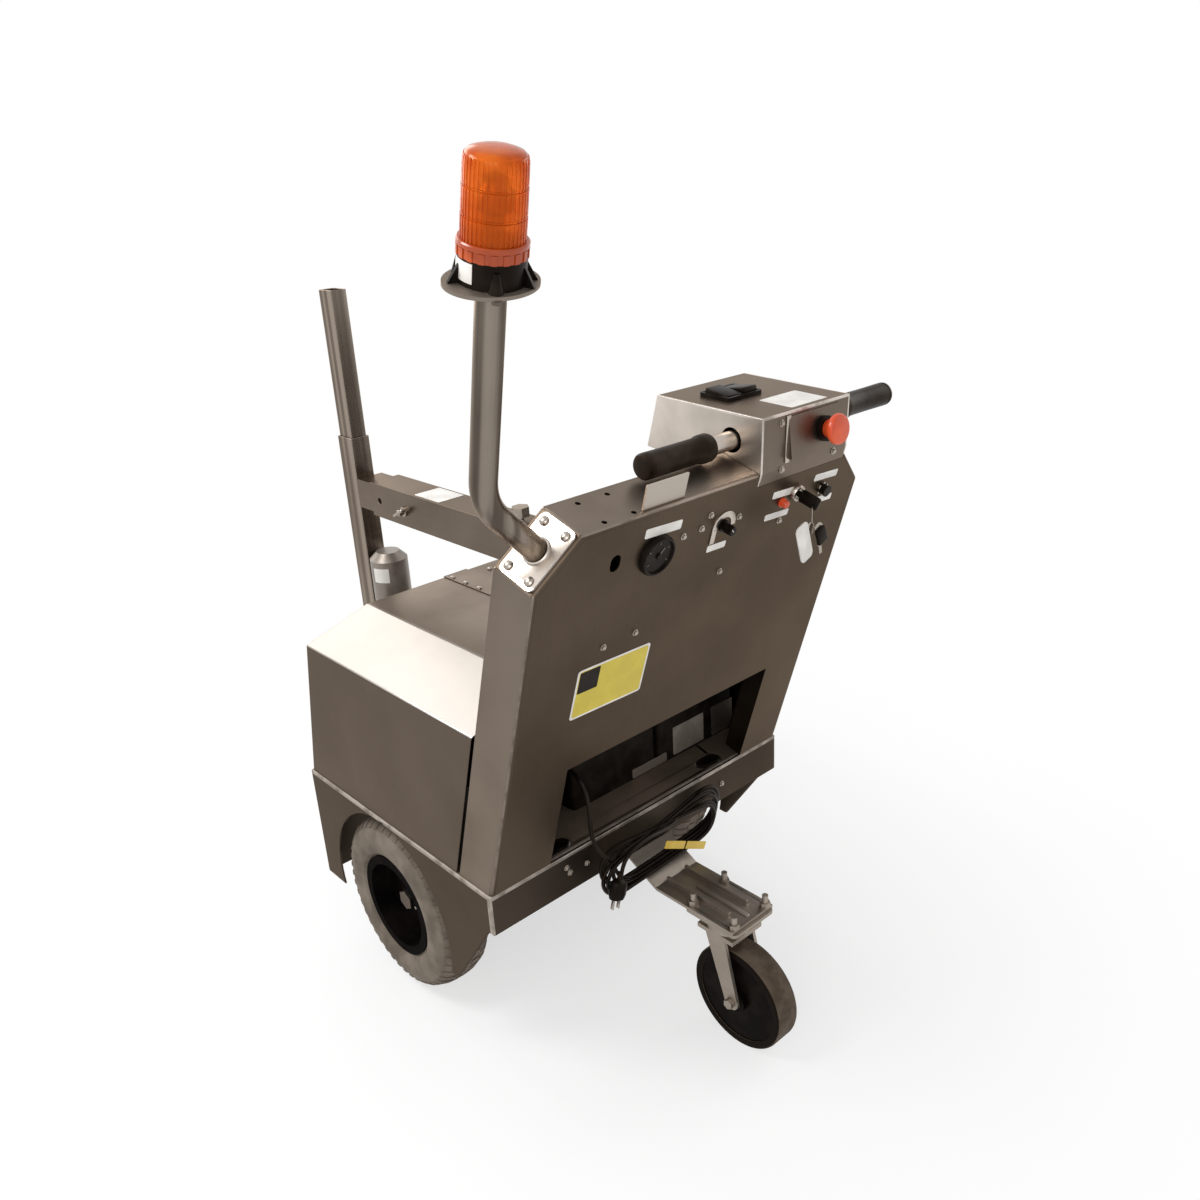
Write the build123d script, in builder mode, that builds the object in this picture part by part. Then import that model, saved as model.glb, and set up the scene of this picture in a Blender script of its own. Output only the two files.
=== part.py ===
from build123d import *

import os
from math import cos, radians, sin, sqrt, tan

os.makedirs("parts", exist_ok=True)

# Frame: X to the operator's right, Y forwards, Z up, millimetres.
# The origin is on the floor, midway between the drive wheels and below their axle.

# Base pan
base_width = 680
base_rear = -320
base_front = 241
base_top = 356
base_sheet = 4
rear_skirt = 72
side_skirt = 229
rear_leg_heel = 14
rear_leg_toe = 124
arch_clearance = 12
panel_inset = 3
cable_hole_length = 57
cable_hole_width = 30
cable_hole_x = 183
cable_hole_inset = 30

# Leaning console
console_lean = 17.4
console_height = 634
console_corner = 71
console_depth = 77
console_sheet = 3
console_bend = 7
window_left = -219
window_right = 238
window_height = 207
window_flange = 34
panel_opening_width = 600
top_tab_left = -156
top_tab_width = 78
top_tab_height = 38
top_tab_setback = 8
wall_hole_x = -199
wall_hole_up = 571
wall_hole_length = 26
wall_hole_width = 18
top_hole_radius = 4
top_hole_pitch = 52
top_hole_x = -194

# Hood over the batteries
hood_height = 318
hood_ridge = 42
hood_ridge_x = 214
hood_front_lean = 12.5
hood_sheet = 3
hood_bend = 5
hood_gap = 8
hood_seam_x = -32
hood_seam_gap = 0.5
lap_width = 26
lap_sheet = 2

# Control head
head_inset = 62
head_width = 203
head_lap = 20
head_rear_height = 81
head_rear_lean = 2.8
head_top_slope = 3
head_depth = 208
head_front_drop = 87
head_sheet = 3
head_gap = 1
bar_y = -454
bar_z = 1004
bar_radius = 14
bar_hole_clearance = 4.5
grip_radius = 19
grip_flare = 2
grip_length = 134
bar_left_reach = 182
bar_right_reach = 178
bearing_length = 90
bearing_size = 48

# Controls
gauge_x = -122
gauge_up = 561
gauge_radius = 31
gauge_height = 9
gauge_taper = 12
dial_x = 13
dial_up = 567
dial_plate_radius = 26
dial_sheet = 2
knob_radius = 8
knob_height = 20
knob_taper = 6
key_inset = 165
key_up = 580
key_barrel = 8
key_length = 36
key_radius = 13
key_head_length = 22
key_head_width = 11
button_radius = 9
button_height = 12
breaker_inset = 194
breaker_up = 570
reset_inset = 96
reset_up = 568
switch_from_left = 78
switch_inset = 128
switch_width = 78
switch_depth = 60
switch_height = 14
switch_round = 6
estop_from_left = 133
estop_tilt = 5
estop_bracket_from_left = 56
estop_bracket_width = 118
estop_bracket_low = 12
estop_bracket_height = 62
estop_bracket_sheet = 1.5
wedge_lip = 2
estop_collar_radius = 19
estop_collar_height = 8
estop_button_radius = 23
estop_button_height = 24
estop_button_round = 5

# Beacon on its bent pole
pole_radius = 16.7
pole_bend_radius = 90
pole_knee = 139
pole_outward_lean = 3.7
pole_top_up = 959
flange_sheet = 5
flange_lip = 6
flange_round = 8
beacon_plate_length = 106
beacon_plate_width = 88
beacon_plate_sheet = 4
beacon_base_radius = 35.5
beacon_base_height = 27
beacon_ears = 3
beacon_ear_turn = 30
beacon_ear_radius = 8
beacon_ear_height = 20
beacon_ear_taper = 14
beacon_ring_radius = 37
beacon_ring_height = 16
beacon_notches = 18
beacon_notch_width = 5
beacon_notch_depth = 2
beacon_notch_height = 9
beacon_lens_radius = 32.5
beacon_lens_height = 78
beacon_lens_taper = 1
beacon_lens_round = 9

# Drive wheels and axle
tyre_radius = 168
tyre_width = 110
tyre_shoulder = 26
tyre_wall = 50
tyre_round = 12
wheel_track_outer = 684
bead_radius = 84
rim_flange_radius = 96
rim_width = 92
rim_sheet = 4
rim_dish = 44
rim_well = 10
rim_well_width = 34
bead_rise = 3
hub_radius = 32
hub_length = 60
hub_nose = 10
shaft_radius = 12.5
shaft_fit = 0.05
shaft_nut_radius = 19
shaft_nut_height = 14
axle_tube_radius = 28
axle_tube_reach = 20
axle_bore_depth = 140
shaft_end_gap = 14
gearbox_radius = 72
gearbox_width = 130
gearbox_round = 18
motor_radius = 56
motor_front_gap = 12
motor_round = 8
motor_neck_radius = 44
hanger_clearance = 42
hanger_sheet = 8
hanger_foot = 42
hanger_top_width = 170
seat_gap = 0.3

# Batteries and charger
battery_depth = 260
battery_height = 222
battery_gap = 8
battery_side_gap = 21
battery_rear = -235
battery_round = 8
charger_width = 220
charger_depth = 110
charger_height = 130
charger_side_gap = 9
charger_gap = 10
charger_rear = -215

# Caster on its bracket
bracket_width = 100
bracket_sheet = 6
bracket_top = 250
bracket_rear = -552
bracket_bend = -383
bracket_rise_end = -316
bracket_front = -238
rib_height = 8
rib_width = 6
rib_x = 22
rib_length = 140
swivel_y = -502
stud_pitch_x = 76
stud_pitch_y = 88
stud_radius = 5
stud_height = 22
stud_nut_radius = 9
stud_nut_height = 9
caster_plate_x = 98
caster_plate_y = 110
caster_plate_sheet = 6
caster_radius = 92
caster_width = 48
caster_tread = 14
caster_trail = 33
caster_hub_radius = 22
caster_face = 3
caster_round = 6
fork_gap = 6
fork_sheet = 6
fork_leg_width = 28
fork_leg_top = 40
race_radius = 38
race_height = 22
crown_sheet = 8
king_pin_radius = 10
caster_axle_radius = 6.3
running_fit = 0.05

# Lifting mast, arm and actuator
mast_left = -111
mast_rear = 324
mast_width = 38
mast_depth = 50
mast_wall = 3
mast_top = 932
mast_bottom = 262
mast_fit = 0.3
inner_top = 1200
inner_bottom = 108
inner_wall = 2.5
arm_left = -117
arm_size = 64
arm_wall = 4
arm_top = 860
arm_front = 268
arm_inner_size = 55
arm_inner_overlap = 160
arm_pin_y = 240
arm_pin_radius = 6
clamp_y = -145
clamp_radius = 15
clamp_height = 16
clamp_stem_radius = 5
clamp_stem_height = 8
bracket_cheek_sheet = 6
bracket_cheek_gap = 6
bracket_low = 268
bracket_high = 345
actuator_radius = 36
actuator_top = 716
actuator_bottom = 250
actuator_cap = 14
trunnion_radius = 8
trunnion_z = 306
rod_radius = 10
rod_bore_depth = 160
rod_end_gap = 6
lift_travel = 75
carriage_sheet = 12
jaw_sheet = 8
jaw_gap = 34
jaw_width = 76
jaw_reach = 96
tow_pin_radius = 10
tow_pin_inset = 34

# Mains lead
cord_radius = 3.5
cord_gland_radius = 9
cord_gland_length = 22
gland_taper = 8
cord_bend_share = 0.45
gland_inset = 32
gland_z = 482
hank_left = -160
hank_right = 156
hank_rear = -374
hank_thickness = 36
hank_height = 84
plug_x = -128
plug_top_up = 42
plug_width = 34
plug_depth = 26
plug_height = 40
plug_round = 7
plug_blade_pitch = 13
plug_blade_sheet = 1.6
plug_blade_width = 6.5
plug_blade_length = 18

# Derived places
lean = radians(console_lean)
base_half = base_width / 2
panel_half = base_half - panel_inset
base_length = base_front - base_rear
base_mid_y = (base_front + base_rear) / 2
axle_z = tyre_radius
face = Plane(
    origin=(0, base_rear, base_top), x_dir=(1, 0, 0), z_dir=(0, -cos(lean), -sin(lean))
)
console_front = face.offset(-console_depth)
hood_rear = face.offset(-(console_depth + console_sheet))
hood_edge = hood_rear.offset(-hood_gap)
foot = console_depth


def on_face(x, up, out=0.0):
    return face.from_local_coords(Vector(x, up, out))


# Side outline of the head, in Y and Z: its rear plate carries on up from the console's face
head_right = panel_half - head_inset
head_left = head_right - head_width
head_lap_foot = on_face(0, console_height - head_lap)
head_foot = on_face(0, console_height)
head_up = Vector(0, -sin(radians(head_rear_lean)), cos(radians(head_rear_lean)))
head_ahead = Vector(0, cos(radians(head_top_slope)), sin(radians(head_top_slope)))
head_rise = Vector(0, -sin(radians(head_top_slope)), cos(radians(head_top_slope)))
head_rear_top = head_foot + head_up * head_rear_height
head_front_top = head_rear_top + head_ahead * head_depth
head_front_foot = head_front_top + Vector(0, sin(lean), -cos(lean)) * head_front_drop
head_points = (head_lap_foot, head_foot, head_rear_top, head_front_top, head_front_foot)
with BuildSketch() as head_outline:
    with BuildLine():
        Polyline(*[(point.Y, point.Z) for point in head_points], close=True)
    make_face()


# Base pan: a folded tray turned upside down, with wheel arches
with BuildPart() as chassis_base:
    with BuildSketch(Plane.XY.offset(base_top - side_skirt)):
        with Locations((0, base_mid_y)):
            Rectangle(base_width, base_length)
    extrude(amount=side_skirt)
    with BuildSketch(Plane.XY.offset(base_top - side_skirt)):
        with Locations((0, base_mid_y)):
            Rectangle(base_width - 2 * base_sheet, base_length - 2 * base_sheet)
    extrude(amount=side_skirt - base_sheet, mode=Mode.SUBTRACT)
    with BuildSketch(Plane.YZ):
        with BuildLine():
            Polyline(
                (base_rear, base_top - side_skirt),
                (base_rear, base_top - rear_skirt),
                (base_rear + rear_leg_heel, base_top - rear_skirt),
                (base_rear + rear_leg_toe, base_top - side_skirt),
                close=True,
            )
        make_face()
    extrude(amount=base_width / 2, both=True, mode=Mode.SUBTRACT)
    with Locations((0, 0, axle_z)):
        Cylinder(tyre_radius + arch_clearance, base_width, rotation=(0, 90, 0), mode=Mode.SUBTRACT)
    with BuildSketch(Plane.XY.offset(base_top)):
        with Locations(*[(side * cable_hole_x, base_rear + cable_hole_inset) for side in (-1, 1)]):
            SlotOverall(cable_hole_length, cable_hole_width)
    extrude(amount=-base_sheet, mode=Mode.SUBTRACT)


# Console: leaning folded shell with a window above the ledge
with BuildSketch() as console_outline:
    with BuildLine():
        Polyline(
            (-panel_half, -foot),
            (panel_half, -foot),
            (panel_half, console_height - console_corner),
            (panel_half - console_corner, console_height),
            (-panel_half + console_corner, console_height),
            (-panel_half, console_height - console_corner),
            close=True,
        )
    make_face()

with BuildSketch() as console_inside:
    add(console_outline.sketch)
    offset(amount=-console_sheet, kind=Kind.INTERSECTION, mode=Mode.REPLACE)

with BuildPart() as console_shell:
    with BuildSketch(face):
        add(console_outline.sketch)
    extrude(amount=-console_depth)
    fold_lines = faces().sort_by(Axis(face.origin, face.z_dir))[-1].edges()
    fillet(fold_lines + edges().filter_by(Axis(face.origin, face.z_dir)), console_bend)
    with BuildSketch(face.offset(-console_sheet)):
        add(console_inside.sketch)
    extrude(amount=-(console_depth - console_sheet), mode=Mode.SUBTRACT)
    with BuildSketch(face):
        with Locations(((window_left + window_right) / 2, 0)):
            Rectangle(
                window_right - window_left, window_height, align=(Align.CENTER, Align.MIN)
            )
    extrude(amount=-console_sheet, mode=Mode.SUBTRACT)
    with BuildSketch(face.offset(-console_sheet)):
        with Locations((window_left - console_sheet, 0), (window_right, 0)):
            Rectangle(console_sheet, window_height, align=(Align.MIN, Align.MIN))
    extrude(amount=-window_flange)
    with BuildSketch(face):
        with Locations((wall_hole_x, wall_hole_up)):
            SlotOverall(wall_hole_length, wall_hole_width, rotation=90)
    extrude(amount=-console_sheet, mode=Mode.SUBTRACT)
    # Cut-out that the head stands in
    with BuildSketch(Plane.YZ.offset(head_left - head_gap)):
        add(head_outline.sketch)
    extrude(amount=head_width + 2 * head_gap, mode=Mode.SUBTRACT)
    # Folded tab and spare bolt holes on the top
    top_plane = Plane(origin=on_face(0, console_height), x_dir=(1, 0, 0), z_dir=face.y_dir)
    with BuildSketch(top_plane):
        with Locations((top_tab_left, top_tab_setback)):
            Rectangle(top_tab_width, console_sheet, align=(Align.MIN, Align.MIN))
    extrude(amount=top_tab_height)
    with BuildSketch(top_plane):
        with Locations((top_hole_x, console_depth / 2)):
            with GridLocations(top_hole_pitch, top_hole_pitch, 2, 2):
                Circle(top_hole_radius)
    extrude(amount=-2 * console_sheet, mode=Mode.SUBTRACT)
    split(bisect_by=Plane.XY.offset(base_top), keep=Keep.TOP)


# Console front panel, open to the battery space and notched for the head
with BuildPart() as console_front_panel:
    with BuildSketch(console_front):
        add(console_outline.sketch)
        with Locations((0, -foot)):
            Rectangle(
                panel_opening_width,
                foot + window_height,
                align=(Align.CENTER, Align.MIN),
                mode=Mode.SUBTRACT,
            )
    extrude(amount=-console_sheet)
    with BuildSketch(Plane.YZ.offset(head_left - head_gap)):
        add(head_outline.sketch)
    extrude(amount=head_width + 2 * head_gap, mode=Mode.SUBTRACT)
    split(bisect_by=Plane.XY.offset(base_top), keep=Keep.TOP)


# Hood: folded cover with sloped shoulders, in two halves that lap at a seam
hood_front = Plane(
    origin=(0, base_front - panel_inset, base_top),
    x_dir=(1, 0, 0),
    z_dir=(0, cos(radians(hood_front_lean)), sin(radians(hood_front_lean))),
)
with BuildPart() as hood_shell:
    with BuildSketch(Plane.XZ):
        with BuildLine():
            Polyline(
                (-panel_half, base_top),
                (panel_half, base_top),
                (panel_half, base_top + hood_height - hood_ridge),
                (hood_ridge_x, base_top + hood_height),
                (-hood_ridge_x, base_top + hood_height),
                (-panel_half, base_top + hood_height - hood_ridge),
                close=True,
            )
        make_face()
    extrude(amount=base_length, both=True)
    split(bisect_by=hood_edge, keep=Keep.BOTTOM)
    split(bisect_by=hood_front, keep=Keep.BOTTOM)
    hood_nose = faces().sort_by(Axis.Y)[-1]
    long_folds = edges().filter_by(Axis.Y).sort_by(Axis.Z)[2:]
    fillet(long_folds + hood_nose.edges().sort_by(Axis.Z)[1:], hood_bend)
    hood_bottom = faces().sort_by(Axis.Z)[0]
    hood_back = faces().sort_by(Axis.Y)[0]
    offset(amount=-hood_sheet, openings=[hood_bottom, hood_back], kind=Kind.INTERSECTION)

with BuildPart() as hood_left:
    add(hood_shell.part)
    split(bisect_by=Plane.YZ.offset(hood_seam_x), keep=Keep.BOTTOM)

with BuildPart() as hood_right:
    add(hood_shell.part)
    split(bisect_by=Plane.YZ.offset(hood_seam_x + hood_seam_gap), keep=Keep.TOP)
    with BuildSketch(Plane.XY.offset(base_top + hood_height)):
        with Locations((hood_seam_x + lap_width / 2, 0)):
            Rectangle(lap_width * 2, 2 * base_length)
    extrude(amount=lap_sheet)
    split(bisect_by=hood_edge, keep=Keep.BOTTOM)
    split(bisect_by=hood_front, keep=Keep.BOTTOM)


# Control head: folded box with the bar's holes in its sides
with BuildPart() as head_box:
    with BuildSketch(Plane.YZ.offset(head_left)):
        add(head_outline.sketch)
    extrude(amount=head_width)
    offset(amount=-head_sheet, kind=Kind.INTERSECTION, mode=Mode.SUBTRACT)
    with Locations(((head_left + head_right) / 2, bar_y, bar_z)):
        Cylinder(
            bar_radius + bar_hole_clearance, head_width, rotation=(0, 90, 0), mode=Mode.SUBTRACT
        )

grip_left_end = head_left - bar_left_reach
grip_right_end = head_right + bar_right_reach
with BuildPart() as handlebar:
    with Locations(((grip_left_end + grip_right_end) / 2, bar_y, bar_z)):
        Cylinder(bar_radius, grip_right_end - grip_left_end - 2 * grip_flare, rotation=(0, 90, 0))

# Grips: moulded sleeves with a flared collar towards the head
with BuildPart() as grips:
    for end, inward in ((grip_left_end, 1), (grip_right_end, -1)):
        with BuildSketch(Plane(origin=(end, bar_y, bar_z), x_dir=(inward, 0, 0), z_dir=(0, 0, 1))):
            with BuildLine():
                Polyline(
                    (0, 0),
                    (0, grip_radius - grip_flare),
                    (grip_flare, grip_radius),
                    (grip_length - 4 * grip_flare, grip_radius),
                    (grip_length - 2 * grip_flare, grip_radius + grip_flare),
                    (grip_length, grip_radius + grip_flare),
                    (grip_length, bar_radius + running_fit),
                    (grip_flare, bar_radius + running_fit),
                    (grip_flare, 0),
                    close=True,
                )
            make_face()
        revolve(axis=Axis((end, bar_y, bar_z), (1, 0, 0)))

# Bearing block that hangs below the head's top and holds the bar
head_ceiling = head_rear_top - head_rise * head_sheet


def ceiling_z(y):
    return head_ceiling.Z + (y - head_ceiling.Y) * tan(radians(head_top_slope))


with BuildPart() as handle_bearing:
    with BuildSketch(Plane.YZ.offset((head_left + head_right - bearing_length) / 2)):
        with BuildLine():
            Polyline(
                (bar_y - bearing_size / 2, bar_z - bearing_size / 2),
                (bar_y + bearing_size / 2, bar_z - bearing_size / 2),
                (bar_y + bearing_size / 2, ceiling_z(bar_y + bearing_size / 2)),
                (bar_y - bearing_size / 2, ceiling_z(bar_y - bearing_size / 2)),
                close=True,
            )
        make_face()
        with Locations((bar_y, bar_z)):
            Circle(bar_radius + running_fit, mode=Mode.SUBTRACT)
    extrude(amount=bearing_length)


# Controls on the console's face
with BuildPart() as voltmeter:
    with BuildSketch(face):
        with Locations((gauge_x, gauge_up)):
            Circle(gauge_radius)
    extrude(amount=gauge_height, taper=gauge_taper)

# Speed dial: crescent plate with a knob on it
with BuildPart() as speed_dial:
    with BuildSketch(face):
        with Locations((dial_x, dial_up)):
            Circle(dial_plate_radius)
            Rectangle(
                2 * dial_plate_radius,
                dial_plate_radius,
                align=(Align.MIN, Align.CENTER),
                mode=Mode.SUBTRACT,
            )
    extrude(amount=dial_sheet)
    with BuildSketch(face.offset(dial_sheet)):
        with Locations((dial_x - knob_radius, dial_up)):
            Circle(knob_radius)
    extrude(amount=knob_height, taper=knob_taper)

# Key switch: round barrel with the key's flat head standing out of it
with BuildPart() as key_switch:
    with BuildSketch(face):
        with Locations((panel_half - key_inset, key_up)):
            Circle(key_radius)
    extrude(amount=key_barrel)
    with BuildSketch(face.offset(key_barrel)):
        with Locations((panel_half - key_inset, key_up)):
            SlotOverall(key_head_length, key_head_width)
    extrude(amount=key_length)

with BuildPart() as breaker_button:
    with BuildSketch(face):
        with Locations((panel_half - breaker_inset, breaker_up)):
            Circle(button_radius)
    extrude(amount=button_height, taper=knob_taper)

with BuildPart() as reset_knob:
    with BuildSketch(face):
        with Locations((panel_half - reset_inset, reset_up)):
            Circle(button_radius)
    extrude(amount=button_height, taper=knob_taper)


# Emergency stop on a folded wedge bracket
head_face = Plane(
    origin=head_foot,
    x_dir=(1, 0, 0),
    z_dir=(0, -cos(radians(head_rear_lean)), -sin(radians(head_rear_lean))),
)
wedge_reach = estop_bracket_height * tan(radians(estop_tilt + head_rear_lean))
wedge_side = Plane(
    origin=head_face.from_local_coords(
        Vector(head_left + estop_bracket_from_left, estop_bracket_low, 0)
    ),
    x_dir=head_face.z_dir,
    z_dir=(-1, 0, 0),
)
with BuildPart() as estop_bracket:
    with BuildSketch(wedge_side):
        with BuildLine():
            Polyline(
                (0, 0),
                (wedge_reach + wedge_lip, 0),
                (wedge_lip, estop_bracket_height),
                (0, estop_bracket_height),
                close=True,
            )
        make_face()
    extrude(amount=-estop_bracket_width)
    wedge_back = faces().sort_by(Axis.Y)[-1]
    offset(amount=-estop_bracket_sheet, openings=wedge_back, kind=Kind.INTERSECTION)

wedge_front = Plane(
    origin=head_face.from_local_coords(
        Vector(
            head_left + estop_from_left,
            estop_bracket_low + estop_bracket_height / 2,
            wedge_lip + wedge_reach / 2,
        )
    ),
    x_dir=(1, 0, 0),
    z_dir=(0, -cos(radians(estop_tilt)), sin(radians(estop_tilt))),
)
with BuildPart() as estop_collar:
    with BuildSketch(wedge_front):
        Circle(estop_collar_radius)
    extrude(amount=estop_collar_height)

with BuildPart() as estop_button:
    with BuildSketch(wedge_front.offset(estop_collar_height)):
        Circle(estop_button_radius)
    extrude(amount=estop_button_height)
    fillet(edges().filter_by(GeomType.CIRCLE), estop_button_round)

# Rocker switch: gasketed base with two paddles, on the head's top
head_roof = Plane(origin=head_rear_top, x_dir=(1, 0, 0), z_dir=head_rise)
with BuildPart() as rocker_switch:
    with BuildSketch(head_roof):
        with Locations((head_left + switch_from_left, switch_inset)):
            RectangleRounded(switch_width, switch_depth, switch_round)
    extrude(amount=switch_height / 2)
    with BuildSketch(head_roof.offset(switch_height / 2)):
        with Locations((head_left + switch_from_left, switch_inset)):
            with GridLocations(switch_width / 2, 0, 2, 1):
                Rectangle(switch_width / 2 - switch_round, switch_depth - 2 * switch_round)
    extrude(amount=switch_height / 2, taper=knob_taper)


# Beacon pole: bent pipe that rises from a flange on the console's left corner
mid_plane = face.offset(-console_depth / 2)
corner_mid = Vector(-(panel_half - console_corner / 2), console_height - console_corner / 2)
corner_out = Vector(-1, 1) / sqrt(2)
knee = corner_mid + corner_out * pole_knee
pole_up = Vector(-sin(radians(pole_outward_lean)), cos(radians(pole_outward_lean)))
pole_top = knee + pole_up * ((pole_top_up - knee.Y) / pole_up.Y)
pole_axis = mid_plane.x_dir * pole_up.X + mid_plane.y_dir * pole_up.Y
corner_plane = Plane(
    origin=mid_plane.from_local_coords(corner_mid),
    x_dir=-face.z_dir,
    z_dir=mid_plane.x_dir * corner_out.X + mid_plane.y_dir * corner_out.Y,
)
with BuildPart() as pole_flange:
    with BuildSketch(corner_plane):
        RectangleRounded(console_depth - 2 * flange_lip, sqrt(2) * console_corner - flange_lip, flange_round)
    extrude(amount=flange_sheet)

with BuildPart() as beacon_pole:
    with BuildLine():
        FilletPolyline(
            *[
                mid_plane.from_local_coords(point)
                for point in (corner_mid + corner_out * flange_sheet, knee, pole_top)
            ],
            radius=pole_bend_radius,
        )
    with BuildSketch(corner_plane.offset(flange_sheet)):
        Circle(pole_radius)
    sweep()

beacon_plane = Plane(
    origin=mid_plane.from_local_coords(pole_top), x_dir=-face.z_dir, z_dir=pole_axis
)
with BuildPart() as beacon_plate:
    with BuildSketch(beacon_plane):
        Ellipse(beacon_plate_width / 2, beacon_plate_length / 2)
    extrude(amount=beacon_plate_sheet)

with BuildPart() as beacon_base:
    with BuildSketch(beacon_plane.offset(beacon_plate_sheet)):
        Circle(beacon_base_radius)
        with PolarLocations(beacon_base_radius, beacon_ears, start_angle=beacon_ear_turn):
            Circle(beacon_ear_radius)
    extrude(amount=beacon_ear_height, taper=beacon_ear_taper)
    with BuildSketch(beacon_plane.offset(beacon_plate_sheet)):
        Circle(beacon_base_radius)
    extrude(amount=beacon_base_height)

with BuildPart() as beacon_lens:
    with BuildSketch(beacon_plane.offset(beacon_plate_sheet + beacon_base_height)):
        Circle(beacon_ring_radius)
    extrude(amount=beacon_ring_height)
    with BuildSketch(beacon_plane.offset(beacon_plate_sheet + beacon_base_height)):
        with PolarLocations(beacon_ring_radius, beacon_notches):
            Rectangle(2 * beacon_notch_depth, beacon_notch_width)
    extrude(amount=beacon_notch_height, mode=Mode.SUBTRACT)
    with BuildSketch(beacon_plane.offset(beacon_plate_sheet + beacon_base_height + beacon_ring_height)):
        Circle(beacon_lens_radius)
    extrude(amount=beacon_lens_height, taper=beacon_lens_taper)
    fillet(edges().sort_by(Axis(beacon_plane.origin, beacon_plane.z_dir))[-1], beacon_lens_round)


# Drive wheels: tyre, deep-dished rim and half shaft on each side
wheel_mid = (wheel_track_outer - tyre_width) / 2
axle_axis = Axis((0, 0, axle_z), (1, 0, 0))
bead_half = rim_width / 2 - rim_sheet - seat_gap
dish_face = rim_width / 2 - rim_dish
hub_outer = dish_face + hub_nose
hanger_x = wheel_mid - tyre_width / 2 - hanger_clearance
axle_tube_end = hanger_x + axle_tube_reach
shaft_inner = axle_tube_end - axle_bore_depth + shaft_end_gap
wheels = {}
for side_name, side in (("left", -1), ("right", 1)):
    # Local x runs outwards from the wheel's middle plane, local y is the radius
    wheel_plane = Plane(origin=(side * wheel_mid, 0, axle_z), x_dir=(side, 0, 0), z_dir=(0, 0, 1))
    with BuildPart() as tyre:
        with BuildSketch(wheel_plane) as tyre_section:
            with BuildLine():
                Polyline(
                    (-bead_half, bead_radius + seat_gap),
                    (bead_half, bead_radius + seat_gap),
                    (bead_half, rim_flange_radius + bead_rise),
                    (tyre_width / 2, tyre_radius - tyre_wall),
                    (tyre_width / 2, tyre_radius - tyre_shoulder),
                    (tyre_width / 2 - tyre_shoulder, tyre_radius),
                    (tyre_shoulder - tyre_width / 2, tyre_radius),
                    (-tyre_width / 2, tyre_radius - tyre_shoulder),
                    (-tyre_width / 2, tyre_radius - tyre_wall),
                    (-bead_half, rim_flange_radius + bead_rise),
                    close=True,
                )
            make_face()
            fillet(tyre_section.vertices().group_by(Axis.Y)[-1], tyre_round)
        revolve(axis=axle_axis)
    wheels["tyre_" + side_name] = tyre

    # Rim rings: inner end, outer end, inner radius, outer radius
    well_radius = bead_radius - rim_well
    rim_rings = (
        (rim_well_width / 2 - rim_sheet, rim_width / 2, bead_radius - rim_sheet, bead_radius),
        (-rim_width / 2, rim_sheet - rim_well_width / 2, bead_radius - rim_sheet, bead_radius),
        (-rim_well_width / 2, rim_well_width / 2, well_radius - rim_sheet, well_radius),
        (rim_well_width / 2 - rim_sheet, rim_well_width / 2, well_radius - rim_sheet, bead_radius),
        (-rim_well_width / 2, rim_sheet - rim_well_width / 2, well_radius - rim_sheet, bead_radius),
        (rim_width / 2 - rim_sheet, rim_width / 2, bead_radius - rim_sheet, rim_flange_radius),
        (-rim_width / 2, rim_sheet - rim_width / 2, bead_radius - rim_sheet, rim_flange_radius),
        (dish_face - rim_sheet, dish_face, hub_radius, well_radius),
        (hub_outer - hub_length, hub_outer, shaft_radius + shaft_fit, hub_radius),
    )
    with BuildPart() as rim:
        with BuildSketch(wheel_plane):
            for inner_end, outer_end, inner_radius, outer_radius in rim_rings:
                with Locations((inner_end, inner_radius)):
                    Rectangle(
                        outer_end - inner_end, outer_radius - inner_radius, align=(Align.MIN, Align.MIN)
                    )
        revolve(axis=axle_axis)
    wheels["rim_" + side_name] = rim

    with BuildPart() as half_shaft:
        with BuildSketch(Plane(origin=(side * shaft_inner, 0, axle_z), z_dir=(side, 0, 0))):
            Circle(shaft_radius)
        extrude(amount=wheel_mid + hub_outer - shaft_inner)
        with BuildSketch(Plane(origin=(side * (wheel_mid + hub_outer), 0, axle_z), z_dir=(side, 0, 0))):
            RegularPolygon(shaft_nut_radius, 6)
        extrude(amount=shaft_nut_height)
    wheels["half_shaft_" + side_name] = half_shaft

# Transaxle: round gearbox with an axle tube on each side
with BuildPart() as transaxle:
    with Locations((0, 0, axle_z)):
        Cylinder(gearbox_radius, gearbox_width, rotation=(0, 90, 0))
    fillet(edges().filter_by(GeomType.CIRCLE), gearbox_round)
    with Locations((0, 0, axle_z)):
        Cylinder(axle_tube_radius, 2 * axle_tube_end, rotation=(0, 90, 0))
    for side in (-1, 1):
        with BuildSketch(Plane(origin=(side * axle_tube_end, 0, axle_z), z_dir=(side, 0, 0))):
            Circle(shaft_radius + shaft_fit)
        extrude(amount=-axle_bore_depth, mode=Mode.SUBTRACT)

# Drive motor ahead of the gearbox, hollowed at its rear to seat on it
motor_front = base_front - base_sheet - motor_front_gap
with BuildPart() as drive_motor:
    with BuildSketch(Plane.XZ.offset(-motor_front)):
        with Locations((0, axle_z)):
            Circle(motor_radius)
    extrude(amount=motor_front - gearbox_radius)
    fillet(edges().group_by(Axis.Y)[-1], motor_round)
    with BuildSketch(Plane.XZ.offset(-gearbox_radius)):
        with Locations((0, axle_z)):
            Circle(motor_neck_radius)
    extrude(amount=gearbox_radius)
    with Locations((0, 0, axle_z)):
        Cylinder(gearbox_radius + seat_gap, gearbox_width, rotation=(0, 90, 0), mode=Mode.SUBTRACT)

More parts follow.
